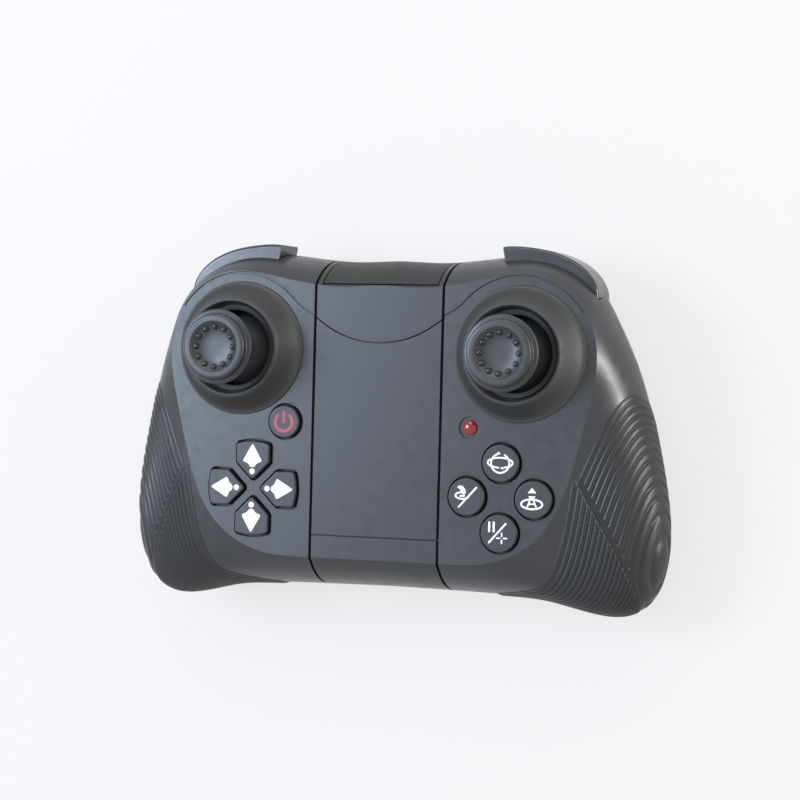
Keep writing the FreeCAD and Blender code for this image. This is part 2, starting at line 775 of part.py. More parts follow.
TRIMS = {
    "trim_forward_button": (trim_x, trim_y + trim_step_y, trim_profile(0)),
    "trim_left_button": (trim_x - trim_step_x, trim_y, trim_profile(90)),
    "trim_back_button": (trim_x, trim_y - trim_step_y, trim_profile(180)),
    "trim_right_button": (trim_x + trim_step_x, trim_y, trim_profile(270)),
}
ROUNDS = {
    "mode_button": (function_x, function_y + function_step, round_profile(round_r)),
    "orbit_button": (function_x - function_step, function_y, round_profile(round_r)),
    "camera_button": (function_x + function_step, function_y, round_profile(round_r)),
    "landing_button": (function_x, function_y - function_step, round_profile(round_r)),
}
POWER = {"power_button": (power_x, power_y, round_profile(power_r))}
BUTTONS = {**TRIMS, **ROUNDS, **POWER}


def face_buttons():
    return list(BUTTONS.values())


def button_stem_z():
    return board_z + switch_h + press + press_room


def face_button(profile):
    low = -wall - flange_t
    cap = profile(0)
    cap.translate(V(0, 0, low))
    cap = cap.extrude(V(0, 0, proud - low))
    rim = [e for e in cap.Edges if e.BoundBox.ZMin > proud - 0.01]
    cap = cap.makeFillet(0.35, rim)
    flange = profile(hole_gap + flange_w)
    flange.translate(V(0, 0, low))
    stem = post(0, 0, switch_stem_r, button_stem_z(), low)
    return fused([cap, flange.extrude(V(0, 0, flange_t)), stem])


def shoulder_plan(grow, swing_room=0):
    """Shoulder button seen from the front, an arched band along the top corner.

    swing_room is extra depth at the outer end, which moves inward when pressed.
    """
    line = Part.BSplineCurve()
    last = len(SHOULDER_LINE) - 1
    line.interpolate(
        Points=[V(shoulder_inner_x + shoulder_span * a, button_top_y - shoulder_drop * b, 0)
                for a, b in SHOULDER_LINE],
        Parameters=[float(i) for i in range(last + 1)])
    outer = []
    inner = []
    steps = 10
    for i in range(steps + 1):
        share = i / steps
        p = line.value(last * share)
        along = line.tangent(last * share)[0]
        inward = V(along.y, -along.x, 0)
        if i == 0:
            p = p - along * grow
        if i == steps:
            p = p + along * (grow + 0.8 * swing_room)
        outer.append(p - inward * grow)
        depth = shoulder_in + (swing_room - shoulder_thin) * share + grow
        inner.append(p + inward * depth)
    top = Part.BSplineCurve()
    top.interpolate(outer)
    bottom = Part.BSplineCurve()
    bottom.interpolate(inner)
    wire = Part.Wire([top.toShape(), Part.makeLine(outer[-1], inner[-1]),
                      bottom.toShape(), Part.makeLine(inner[0], outer[0])])
    return Part.Face(wire)


def shoulder_slot():
    """Room in the shells for a shoulder button at rest and pressed."""
    swing_room = (shoulder_outer_x - pivot_x) * math.sin(math.radians(shoulder_swing))
    plan = shoulder_plan(shoulder_gap, swing_room)
    plan.translate(V(0, 0, shoulder_front_z - shoulder_h - shoulder_gap))
    return plan.extrude(V(0, 0, shoulder_h + 2 * shoulder_gap))


def pivot_room():
    """Space in the shells round the lug and arm of a shoulder button."""
    low = lug_back_z - pivot_boss_gap
    high = lug_front_z + pivot_boss_gap
    arm = box(pivot_x - arm_half - 1, pivot_x + arm_half + 1, pivot_y, button_top_y - 3, low, high)
    return post(pivot_x, pivot_y, pivot_lug_r + 0.4, low, high).fuse(arm)


def shoulder_button():
    plan = shoulder_plan(0)
    plan.translate(V(0, 0, shoulder_front_z - shoulder_h))
    block = plan.extrude(V(0, 0, shoulder_h))
    rims = sorted(block.Edges, key=lambda e: e.Length)[-2:]
    block = block.makeFillet(shoulder_round, rims)
    lug = post(pivot_x, pivot_y, pivot_lug_r, lug_back_z, lug_front_z)
    arm = box(pivot_x - arm_half, pivot_x + arm_half, pivot_y, button_top_y - shoulder_in + 1,
              lug_back_z, lug_front_z)
    bore = post(pivot_x, pivot_y, pivot_pin_r + fit, -40, 10)
    return fused([block, lug, arm]).cut(bore)


def shoulder_switch():
    x = trigger_x
    y = stick_y + housing_half
    z = shoulder_front_z - shoulder_h / 2
    block = box(x - switch_half, x + switch_half, y, y + switch_h,
                z - trigger_half_h, z + trigger_half_h)
    return block.fuse(cyl(trigger_stem_r, trigger_stem_len, x, y + switch_h, z, Y_AXIS))


# ---- board ----------------------------------------------------------------------------
def main_board():
    back = board_z - board_t
    board = mid_box(board_half, board_bottom_y, board_top_y, back, board_z)
    board = board.fuse(mid_box(tongue_half, board_top_y, tongue_top_y, back, board_z))
    holes = [s for x, y in board_screw_places
             for s in both(post(x, y, board_screw_r + 0.1, back - 1, board_z + 1))]
    return board.cut(holes).removeSplitter()


def switches():
    parts = []
    for x, y, _ in face_buttons():
        block = mid_box(switch_half, -switch_half, switch_half, board_z, board_z + switch_h - 1)
        stem = post(0, 0, switch_stem_r, board_z + switch_h - 1, board_z + switch_h)
        parts.append(moved(block.fuse(stem), x, y))
    return group(parts)


def board_chips():
    back = board_z - board_t
    return group([box(x - a, x + a, y - b, y + b, back - h, back) for x, y, a, b, h in CHIPS])


def board_screws():
    back = board_z - board_t
    parts = []
    for x, y in board_screw_places:
        head = post(x, y, board_screw_head_r, back - board_screw_head_h, back)
        shank = post(x, y, board_screw_r - 0.1, back, board_z + board_screw_len - 0.5)
        parts += both(head.fuse(shank))
    return group(parts)


def shell_screws():
    parts = []
    for x, y in shell_screw_places:
        head = post(x, y, screw_head_r, screw_seat_z - screw_head_h, screw_seat_z)
        slot = box(x - 0.4, x + 0.4, y - 1.4, y + 1.4, screw_seat_z - screw_head_h,
                   screw_seat_z - screw_head_h + 0.8)
        shank = post(x, y, screw_r - 0.2, screw_seat_z, screw_tip_z - 0.5)
        parts += both(head.cut(slot).fuse(shank))
    return group(parts)


def status_led():
    body_led = post(led_x, power_y, led_r, board_z, 0)
    flange = post(led_x, power_y, led_r + 0.5, board_z, board_z + 1)
    ball_r = (led_r ** 2 + led_dome ** 2) / (2 * led_dome)
    dome = Part.makeSphere(ball_r, V(led_x, power_y, led_dome - ball_r))
    dome = dome.common(box(led_x - 5, led_x + 5, power_y - 5, power_y + 5, 0, 5))
    return fused([body_led, flange, dome])


# ---- batteries ------------------------------------------------------------------------
def battery_rows():
    return [(bay_mid_y + battery_step * (i - 1), 1 if i % 2 == 0 else -1) for i in range(3)]


def batteries():
    parts = []
    for y, way in battery_rows():
        nub_end = way * contact_x
        body_end = nub_end - way * battery_nub_h
        cell = cyl(battery_r, battery_len, body_end, y, battery_z, V(-way, 0, 0))
        nub = cyl(battery_nub_r, battery_nub_h, nub_end, y, battery_z, V(-way, 0, 0))
        parts.append(cell.fuse(nub))
    return group(parts)


def contacts():
    parts = []
    for y, _ in battery_rows():
        for x in (contact_x, -contact_x - contact_t):
            parts.append(box(x, x + contact_t, y - contact_half, y + contact_half,
                             battery_z - contact_half, battery_z + contact_half))
    return group(parts)


def wire_section():
    """Octagonal section of the spring wire, at the start of its helix."""
    corners = []
    for i in range(8):
        angle = math.pi / 4 * (i + 0.5)
        corners.append(V(spring_r + spring_wire_r * math.cos(angle), 0,
                         spring_wire_r * math.sin(angle)))
    return Part.makePolygon(corners + corners[:1])


def contact_springs():
    """Coils between each cell's flat end and its contact."""
    parts = []
    for y, way in battery_rows():
        start = -way * contact_x
        coil_len = spring_len - 2 * spring_wire_r
        helix = Part.makeHelix(coil_len / spring_turns, coil_len, spring_r)
        coil = helix.makePipeShell([wire_section()], True, True)
        coil.rotate(V(0, 0, 0), Y_AXIS, 90 * way)
        coil.translate(V(start + way * spring_wire_r, y, battery_z))
        parts.append(coil)
    return group(parts)


def battery_door():
    r = door_t / 2
    plate = mid_box(door_half, hinge_y, door_top_y, door_z, door_inner_z)
    round_end = cyl(r, 2 * door_half, -door_half, hinge_y, hinge_z, X_AXIS)
    length = 2 * (door_half + hinge_pin_len)
    pins = cyl(hinge_pin_r, length, -length / 2, hinge_y, hinge_z, X_AXIS)
    latch = mid_box(latch_half, door_top_y, door_top_y + latch_len, door_z, door_inner_z - 0.6)
    scoop = cyl(scoop_r, 2 * scoop_half, -scoop_half, door_top_y - 4,
                door_z - scoop_r + scoop_depth, X_AXIS)
    return fused([plate, round_end, pins, latch]).cut(scoop)


# ---- assembly -------------------------------------------------------------------------
def main():
    os.makedirs("parts", exist_ok=True)
    front, back = shells()
    save("front_shell", front)
    save("back_shell", back)
    for name, shape in zip(("badge_panel", "center_panel", "lower_panel"), strip_panels()):
        save(name, shape)
    slider, carriage, guide = clamp_parts()
    save("phone_hook", hook())
    save("clamp_slider", slider)
    save("clamp_carriage", carriage)
    save("clamp_guide", guide)
    roll, roll_pin = clamp_spring()
    save("clamp_spring", roll)
    save("clamp_spring_pin", roll_pin)
    seat_pad, hook_pad = jaw_pads()
    save("seat_pad", seat_pad)
    save("hook_pad", hook_pad)
    for side, way in (("left", -1), ("right", 1)):
        x = way * stick_x
        save(side + "_stick_bezel", moved(bezel(), x, stick_y))
        save(side + "_stick_cap", moved(stick_cap(), x, stick_y))
        save(side + "_stick_shaft", moved(stick_shaft(), x, stick_y))
        save(side + "_stick_boot", moved(stick_boot(), x, stick_y))
        save(side + "_gimbal_ring", moved(gimbal_ring(), x, stick_y))
        save(side + "_gimbal_housing", moved(gimbal_housing(), x, stick_y))
        save(side + "_axle_sensor", moved(axle_sensor(-way), x, stick_y))
        save(side + "_ring_sensor", moved(ring_sensor(), x, stick_y))
    for name, (x, y, profile) in BUTTONS.items():
        save(name, moved(face_button(profile), x, y))
    save("right_shoulder_button", shoulder_button())
    save("left_shoulder_button", mirrored(shoulder_button()))
    pin = post(pivot_x, pivot_y, pivot_pin_r, pin_back_z, pin_front_z)
    save("shoulder_pivot_pins", group(both(pin)))
    save("shoulder_switches", group(both(shoulder_switch())))
    save("main_board", main_board())
    save("button_switches", switches())
    save("board_chips", board_chips())
    save("board_screws", board_screws())
    save("shell_screws", shell_screws())
    save("status_led", status_led())
    back_of_board = board_z - board_t
    save("buzzer", post(*buzzer_place, buzzer_r, back_of_board - buzzer_h, back_of_board))
    antenna_x = -board_half + antenna_inset
    save("antenna", cyl(antenna_r, antenna_len, antenna_x, board_bottom_y + 2.6,
                        back_of_board - antenna_r, Y_AXIS))
    save("batteries", batteries())
    save("battery_contacts", contacts())
    save("battery_springs", contact_springs())
    save("battery_door", battery_door())


main()
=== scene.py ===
import math

import bpy
import numpy as np
from bpy.props import FloatProperty, FloatVectorProperty, IntProperty, PointerProperty
from mathutils import Matrix, Vector


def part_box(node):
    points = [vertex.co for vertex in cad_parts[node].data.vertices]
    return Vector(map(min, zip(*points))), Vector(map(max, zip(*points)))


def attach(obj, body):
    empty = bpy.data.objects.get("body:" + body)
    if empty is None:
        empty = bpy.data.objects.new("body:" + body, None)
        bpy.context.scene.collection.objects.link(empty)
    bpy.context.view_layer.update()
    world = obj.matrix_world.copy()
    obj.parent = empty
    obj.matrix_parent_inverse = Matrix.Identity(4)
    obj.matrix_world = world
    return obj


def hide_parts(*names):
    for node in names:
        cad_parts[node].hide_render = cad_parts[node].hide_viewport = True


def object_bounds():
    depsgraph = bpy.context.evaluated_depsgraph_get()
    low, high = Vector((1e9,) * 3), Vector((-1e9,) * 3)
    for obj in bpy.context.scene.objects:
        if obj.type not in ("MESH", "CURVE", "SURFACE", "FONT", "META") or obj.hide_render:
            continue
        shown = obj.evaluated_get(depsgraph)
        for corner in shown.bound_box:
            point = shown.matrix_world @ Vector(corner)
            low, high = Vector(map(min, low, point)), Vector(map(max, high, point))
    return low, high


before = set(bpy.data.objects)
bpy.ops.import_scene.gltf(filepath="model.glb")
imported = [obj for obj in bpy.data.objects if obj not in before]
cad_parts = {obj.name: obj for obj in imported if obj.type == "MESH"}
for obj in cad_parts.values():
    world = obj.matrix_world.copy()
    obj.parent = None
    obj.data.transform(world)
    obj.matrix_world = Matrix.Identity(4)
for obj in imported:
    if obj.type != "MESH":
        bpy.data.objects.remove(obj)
CAD_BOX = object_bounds()

bl_info = {
    "name": "Radio Transmitter Controller",
    "version": (1, 0, 0),
    "blender": (4, 5, 0),
    "location": "View3D > Sidebar > Controller",
    "description": "Finishes a two-stick radio transmitter: shells, sticks, buttons and studio",
    "category": "Object",
}

MM = 0.001


# ---- places read from the frame, in metres ------------------------------------------
def middle(node):
    """Middle of a CAD node's box."""
    low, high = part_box(node)
    return (low + high) / 2


def half_size(node):
    """Half the width, depth and height of a CAD node's box."""
    low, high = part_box(node)
    return (high - low) / 2


def top_of(node):
    """Height of a CAD node's highest point."""
    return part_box(node)[1].z


SIDES = (("left", -1), ("right", 1))
# Trim buttons and the turn of their symbols in degrees.
TRIMS = {"trim_forward_button": 0, "trim_left_button": 90,
         "trim_back_button": 180, "trim_right_button": 270}
ROUNDS = ("mode_button", "orbit_button", "camera_button", "landing_button")


# ---- mesh helpers ----------------------------------------------------------------
def in_scene(name, data):
    """A new object with its data, linked to the scene."""
    made = bpy.data.objects.new(name, data)
    bpy.context.scene.collection.objects.link(made)
    return made


def new_piece(name, vertices, faces, body, material, smooth_angle=35):
    """A mesh object from vertex and face lists, shaded smooth up to an angle."""
    mesh = bpy.data.meshes.new(name)
    mesh.from_pydata(vertices, [], faces)
    mesh.update()
    mesh.shade_smooth()
    mesh.set_sharp_from_angle(angle=math.radians(smooth_angle))
    mesh.materials.append(material)
    piece = in_scene(name, mesh)
    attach(piece, body)
    return piece


def grid_faces(rows, columns, closed_rows, closed_columns):
    """Quads of a grid of points numbered row by row, wrapped where a direction is closed."""
    i = np.arange(rows if closed_rows else rows - 1)
    j = np.arange(columns if closed_columns else columns - 1)
    a, b = np.meshgrid(i, j, indexing="ij")
    a_next = (a + 1) % rows
    b_next = (b + 1) % columns
    quads = np.stack([a * columns + b, a_next * columns + b,
                      a_next * columns + b_next, a * columns + b_next], axis=-1)
    return [tuple(quad) for quad in quads.reshape(-1, 4).tolist()]


def turned(profile, centre, segments=128):
    """Surface of revolution about the upright line through centre.

    Point (i, j) is centre + (r_j cos t_i, r_j sin t_i, z_j), with t_i = 2 pi i / segments
    and (r_j, z_j) the profile, read anticlockwise in the (r, z) half plane.  A profile
    that starts and ends on the axis closes there in one point; any other one is a loop.
    """
    profile = np.asarray(profile, float)
    on_axis = profile[0, 0] < 1e-9 and profile[-1, 0] < 1e-9
    ring = profile[1:-1] if on_axis else profile
    t = 2 * np.pi * np.arange(segments) / segments
    x = centre[0] + np.outer(np.cos(t), ring[:, 0])
    y = centre[1] + np.outer(np.sin(t), ring[:, 0])
    z = centre[2] + np.tile(ring[:, 1], (segments, 1))
    points = np.stack([x, y, z], axis=-1).reshape(-1, 3)
    faces = grid_faces(segments, len(ring), True, not on_axis)
    if on_axis:
        first, last = len(points), len(points) + 1
        poles = np.array([[0, 0, profile[0, 1]], [0, 0, profile[-1, 1]]]) + np.array(centre)
        points = np.vstack([points, poles])
        count = len(ring)
        i = np.arange(segments)
        after = (i + 1) % segments
        fan = np.stack([np.full(segments, first), after * count, i * count], axis=-1)
        cap = np.stack([np.full(segments, last), i * count + count - 1,
                        after * count + count - 1], axis=-1)
        faces += [tuple(f) for f in fan.tolist()] + [tuple(f) for f in cap.tolist()]
    return points, faces


def rounded(corners, radius, steps=6):
    """Polyline with each inner corner replaced by a quadratic curve that leaves the two
    edges at the given distance from the corner, or at half an edge where that is less."""
    corners = np.asarray(corners, float)
    line = [corners[0]]
    t = np.linspace(0, 1, steps + 1)[:, None]
    for before, corner, after, r in zip(corners[:-2], corners[1:-1], corners[2:], radius):
        if r <= 0:
            line.append(corner)
            continue
        a = before - corner
        b = after - corner
        reach_a = min(r, np.linalg.norm(a) / 2)
        reach_b = min(r, np.linalg.norm(b) / 2)
        start = corner + a / np.linalg.norm(a) * reach_a
        stop = corner + b / np.linalg.norm(b) * reach_b
        line.extend((1 - t) ** 2 * start + 2 * t * (1 - t) * corner + t ** 2 * stop)
    line.append(corners[-1])
    return np.array(line)


def rounded_loop(corners, radius, steps=6):
    """Closed outline with every corner rounded as in rounded()."""
    corners = np.asarray(corners, float)
    wrapped = np.vstack([corners[-1:], corners, corners[:1]])
    return rounded(wrapped, [radius] * len(corners), steps)[1:-1]


def plate(outline, low, high):
    """Flat plate: the outline at two heights, closed by its two faces and its side."""
    outline = np.asarray(outline, float)
    count = len(outline)
    points = np.vstack([np.column_stack([outline, np.full(count, low)]),
                        np.column_stack([outline, np.full(count, high)])])
    i = np.arange(count)
    after = (i + 1) % count
    sides = np.stack([i, after, after + count, i + count], axis=-1)
    faces = [tuple(f) for f in sides.tolist()]
    faces.append(tuple(range(count - 1, -1, -1)))
    faces.append(tuple(range(count, 2 * count)))
    return points, faces


def stroke(path, width, low, high, closed=False):
    """Band of even width along a flat path: each point moved half the width to both
    sides along the path's normal.  An open band ends in half circles."""
    path = np.asarray(path, float)
    if closed:
        along = np.roll(path, -1, axis=0) - np.roll(path, 1, axis=0)
    else:
        along = np.gradient(path, axis=0)
    along = along / np.linalg.norm(along, axis=1)[:, None]
    normal = np.column_stack([-along[:, 1], along[:, 0]]) * width / 2
    if not closed:
        t = np.linspace(0, np.pi, 9)[1:-1, None]
        tip = path[-1] - normal[-1] * np.cos(t) + along[-1] * width / 2 * np.sin(t)
        tail = path[0] + normal[0] * np.cos(t) - along[0] * width / 2 * np.sin(t)
        return plate(np.vstack([path - normal, tip, (path + normal)[::-1], tail]), low, high)
    count = len(path)
    corners = [(path - normal, low), (path - normal, high), (path + normal, high),
               (path + normal, low)]
    points = np.stack([np.column_stack([p, np.full(count, z)]) for p, z in corners], axis=1)
    faces = [quad[::-1] for quad in grid_faces(count, 4, True, True)]
    return points.reshape(-1, 3), faces


def arc(centre, rx, ry, start, stop, count=48):
    """Points of an ellipse between two angles in degrees."""
    t = np.radians(np.linspace(start, stop, count))
    return np.column_stack([centre[0] + rx * np.cos(t), centre[1] + ry * np.sin(t)])


def merged(parts):
    """Several (points, faces) pairs as one."""
    points = np.vstack([p for p, _ in parts])
    faces = []
    start = 0
    for part_points, part_faces in parts:
        faces += [tuple(start + v for v in f) for f in part_faces]
        start += len(part_points)
    return points, faces


# ---- materials ---------------------------------------------------------------------
def new_material(name):
    """A material with its node tree and its shader."""
    material = bpy.data.materials.new(name)
    material.use_nodes = True
    return material, material.node_tree, material.node_tree.nodes["Principled BSDF"]


def node(tree, kind, **settings):
    """A new shader node with some of its settings."""
    made = tree.nodes.new(kind)
    for key, value in settings.items():
        setattr(made, key, value)
    return made


def value_noise(tree, size, detail=2.0, stretch=(1, 1, 1)):
    """Noise whose features are about the given size in metres."""
    place = node(tree, "ShaderNodeTexCoord")
    mapping = node(tree, "ShaderNodeMapping")
    mapping.inputs["Scale"].default_value = stretch
    noise = node(tree, "ShaderNodeTexNoise")
    noise.inputs["Scale"].default_value = 1 / size
    noise.inputs["Detail"].default_value = detail
    tree.links.new(place.outputs["Object"], mapping.inputs["Vector"])
    tree.links.new(mapping.outputs["Vector"], noise.inputs["Vector"])
    return noise.outputs["Fac"]


def ranged(tree, source, low, high, from_low=0.3, from_high=0.7):
    """A value from low to high as the source goes from from_low to from_high."""
    spread = node(tree, "ShaderNodeMapRange")
    spread.inputs["From Min"].default_value = from_low
    spread.inputs["From Max"].default_value = from_high
    spread.inputs["To Min"].default_value = low
    spread.inputs["To Max"].default_value = high
    tree.links.new(source, spread.inputs["Value"])
    return spread.outputs["Result"]


def colour_mix(tree, factor, first, second):
    """A blend of two colours, each a socket or three numbers."""
    mix = node(tree, "ShaderNodeMix", data_type="RGBA")
    tree.links.new(factor, mix.inputs["Factor"])
    for socket, colour in (("A", first), ("B", second)):
        target = [s for s in mix.inputs if s.name == socket and s.type == "RGBA"][0]
        if isinstance(colour, bpy.types.NodeSocket):
            tree.links.new(colour, target)
        else:
            target.default_value = (*colour, 1)
    return [s for s in mix.outputs if s.type == "RGBA"][0]


def shaded(colour, factor):
    """A colour made darker or paler by a factor."""
    return tuple(c * factor for c in colour)


CLOUD = 14 * MM        # size of the cloudy patches in a moulding's colour
GLOSS_PATCH = 3.5 * MM  # size of the patches that differ in gloss
GLOSS_SPREAD = 0.05


def moulded(name, colour, roughness, grain=0.25 * MM, depth=0.010 * MM, mottle=0.04,
            edge=0.22 * MM, wear=0.12, metallic=0.0, coat=0.0, ior=1.55):
    """Moulded plastic: cloudy colour, a fine pitted grain and paler, smoother edges."""
    material, tree, shader = new_material(name)
    shader.inputs["Metallic"].default_value = metallic
    shader.inputs["Coat Weight"].default_value = coat
    shader.inputs["Coat Roughness"].default_value = 0.08
    shader.inputs["IOR"].default_value = ior
    cloud = value_noise(tree, CLOUD, 3)
    base = colour_mix(tree, ranged(tree, cloud, 0, 1), shaded(colour, 1 - mottle),
                      shaded(colour, 1 + mottle))
    soft = node(tree, "ShaderNodeBevel", samples=4)
    soft.inputs["Radius"].default_value = edge
    true = node(tree, "ShaderNodeNewGeometry")
    bend = node(tree, "ShaderNodeVectorMath", operation="DOT_PRODUCT")
    tree.links.new(soft.outputs["Normal"], bend.inputs[0])
    tree.links.new(true.outputs["Normal"], bend.inputs[1])
    rubbed = ranged(tree, bend.outputs["Value"], wear, 0, 0.75, 0.99)
    worn = colour_mix(tree, rubbed, base, shaded(colour, 2.6))
    tree.links.new(worn, shader.inputs["Base Color"])
    patches = value_noise(tree, GLOSS_PATCH, 2)
    dull = ranged(tree, patches, roughness - GLOSS_SPREAD, roughness + GLOSS_SPREAD)
    tree.links.new(dull, shader.inputs["Roughness"])
    pits = value_noise(tree, grain, 2)
    bump = node(tree, "ShaderNodeBump")
    bump.inputs["Strength"].default_value = 1.0
    bump.inputs["Distance"].default_value = depth
    tree.links.new(pits, bump.inputs["Height"])
    tree.links.new(soft.outputs["Normal"], bump.inputs["Normal"])
    tree.links.new(bump.outputs["Normal"], shader.inputs["Normal"])
    return material


def brushed(name, colour, roughness):
    """Drawn metal: fine lines along X and slight staining."""
    material, tree, shader = new_material(name)
    shader.inputs["Metallic"].default_value = 1.0
    stain = value_noise(tree, 2.5 * MM, 3)
    tree.links.new(colour_mix(tree, ranged(tree, stain, 0, 1), shaded(colour, 0.8), colour),
                   shader.inputs["Base Color"])
    lines = value_noise(tree, 0.15 * MM, 2, (0.05, 1, 1))
    tree.links.new(ranged(tree, lines, roughness - 0.08, roughness + 0.1),
                   shader.inputs["Roughness"])
    bump = node(tree, "ShaderNodeBump")
    bump.inputs["Distance"].default_value = 0.004 * MM
    tree.links.new(lines, bump.inputs["Height"])
    tree.links.new(bump.outputs["Normal"], shader.inputs["Normal"])
    return material


def lamp_resin(name, colour):
    """Clear coloured resin: glossy, with light that spreads inside the dome."""
    material = moulded(name, colour, 0.12, grain=0.6 * MM, depth=0.002 * MM, wear=0.0,
                       coat=0.25)
    shader = material.node_tree.nodes["Principled BSDF"]
    shader.inputs["Subsurface Weight"].default_value = 0.25
    shader.inputs["Subsurface Scale"].default_value = 1.0 * MM
    shader.inputs["Subsurface Radius"].default_value = (1.0, 0.2, 0.1)
    return material


# ---- settings ------------------------------------------------------------------------
def colour_setting(name, description, default):
    return FloatVectorProperty(name=name, description=description, default=default,
                               subtype="COLOR", size=3, min=0, max=1)


def length_setting(name, description, millimetres):
    return FloatProperty(name=name, description=description, default=millimetres * MM,
                         min=0, precision=5, unit="LENGTH", subtype="DISTANCE")


class ControllerColours(bpy.types.PropertyGroup):
    shell: colour_setting("Shell", "Face, sides and back of the body", (0.016, 0.0175, 0.020))
    panel: colour_setting("Panel", "Three panels of the middle strip", (0.011, 0.012, 0.014))
    bezel: colour_setting("Bezel", "Raised rings round the sticks", (0.020, 0.021, 0.020))
    cap: colour_setting("Stick cap", "Rubbery thumb caps", (0.012, 0.0132, 0.016))
    dots: colour_setting("Dots", "Polished dots in the caps", (0.004, 0.004, 0.004))
    # Painted shade: set darker than the shell so the rounded top bar looks shaded.
    hook: colour_setting("Phone hook", "Sliding bar at the top", (0.005, 0.0055, 0.006))
    grip: colour_setting("Grip", "Ridged surfaces of the grips", (0.013, 0.0135, 0.0145))
    # Also used as painted shade on the rings' ledges and bores.
    boot: colour_setting("Boot", "Dust boots in the stick wells", (0.010, 0.011, 0.012))
    button: colour_setting("Button", "Face buttons", (0.0105, 0.0115, 0.014))
    shoulder: colour_setting("Shoulder button", "Glossy shoulder buttons",
                             (0.012, 0.013, 0.015))
    print_white: colour_setting("White print", "Symbols on the buttons", (0.80, 0.81, 0.84))
    print_red: colour_setting("Red print", "Power symbol", (0.33, 0.035, 0.06))
    lamp: colour_setting("Lamp", "Status lamp", (0.24, 0.002, 0.003))
    slide: colour_setting("Slide", "Sliding parts of the phone clamp", (0.030, 0.031, 0.033))
    pad: colour_setting("Pad", "Rubber pads of the clamp's jaws", (0.018, 0.018, 0.019))
    gimbal: colour_setting("Gimbal", "Gimbals and stick shafts", (0.045, 0.046, 0.048))
    sensor: colour_setting("Sensor", "Housings of the gimbals' sensors", (0.02, 0.06, 0.11))
    chip: colour_setting("Chip", "Chips, switches and buzzer", (0.02, 0.02, 0.021))
    board: colour_setting("Board", "Lacquer of the circuit board", (0.012, 0.09, 0.035))
    antenna: colour_setting("Antenna", "Sleeve of the antenna", (0.4, 0.4, 0.38))
    cell: colour_setting("Cell", "Sleeves of the batteries", (0.30, 0.31, 0.33))
    steel: colour_setting("Steel", "Screws, pins and contacts", (0.55, 0.55, 0.56))
    spring: colour_setting("Spring", "Spring steel", (0.48, 0.46, 0.42))


class ControllerSizes(bpy.types.PropertyGroup):
    dot_count: IntProperty(name="Thumb dots", description="Raised dots on each stick cap",
                           default=12, min=3, max=24)
    dot_circle: length_setting("Dot circle", "Radius of the ring of dots", 5.45)
    dot_radius: length_setting("Dot radius", "Radius of one dot", 0.85)
    dot_height: length_setting("Dot height", "How far a dot stands out", 0.7)
    ridge_height: length_setting("Ridge height", "Tooth of the grip ridges", 0.42)
    print_height: length_setting("Print height", "How far the symbols stand out", 0.03)
    print_root: length_setting("Print root", "How deep the symbols reach in", 0.05)
    power_ring: length_setting("Power ring", "Middle radius of the power symbol", 2.5)
    power_stroke: length_setting("Power stroke", "Line width of the power symbol", 0.95)
    line: length_setting("Symbol line", "Line width of the white symbols", 0.5)


class ControllerStudio(bpy.types.PropertyGroup):
    yaw: FloatProperty(name="Yaw", description="Camera's turn toward +X from straight above",
                       default=0.348, subtype="ANGLE")
    pitch: FloatProperty(name="Pitch", description="Camera's turn toward +Y",
                         default=0.012, subtype="ANGLE")
    roll: FloatProperty(name="Roll", description="Camera's turn about its own axis",
                        default=0.026, subtype="ANGLE")
    distance: length_setting("Distance", "From the camera to the point it looks at", 682.9)
    lens: FloatProperty(name="Lens", description="Focal length in millimetres",
                        default=113.08, min=10, unit="CAMERA")
    aim_x: length_setting("Aim X", "Point on the face that the camera looks at", 6.778)
    aim_y: length_setting("Aim Y", "Point on the face that the camera looks at", 7.3)
    background: colour_setting("Background", "Floor and backdrop", (0.94, 0.948, 0.965))


def settings():
    """The scene's sizes, colours and studio values."""
    scene = bpy.context.scene
    return scene.controller_sizes, scene.controller_colours, scene.controller_studio


def paint(material, *names):
    """Give CAD nodes a material in their own slots."""
    for name in names:
        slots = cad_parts[name].data.materials
        slots.clear()
        slots.append(material)


# ---- operators -----------------------------------------------------------------------
class CONTROLLER_OT_shells(bpy.types.Operator):
    """Finish the two shells, the middle strip and the phone hook"""
    bl_idname = "controller.shells"
    bl_label = "Shells and strip"

    def execute(self, context):
        _, colours, _ = settings()
        shell = moulded("shell plastic", tuple(colours.shell), 0.34)
        panel = moulded("panel plastic", tuple(colours.panel), 0.34)
        paint(shell, "front_shell", "back_shell")
        paint(panel, "badge_panel", "center_panel", "lower_panel")
        # The hook's darker colour is painted shade on the top bar.
        paint(moulded("hook plastic", tuple(colours.hook), 0.5), "phone_hook")
        return {"FINISHED"}


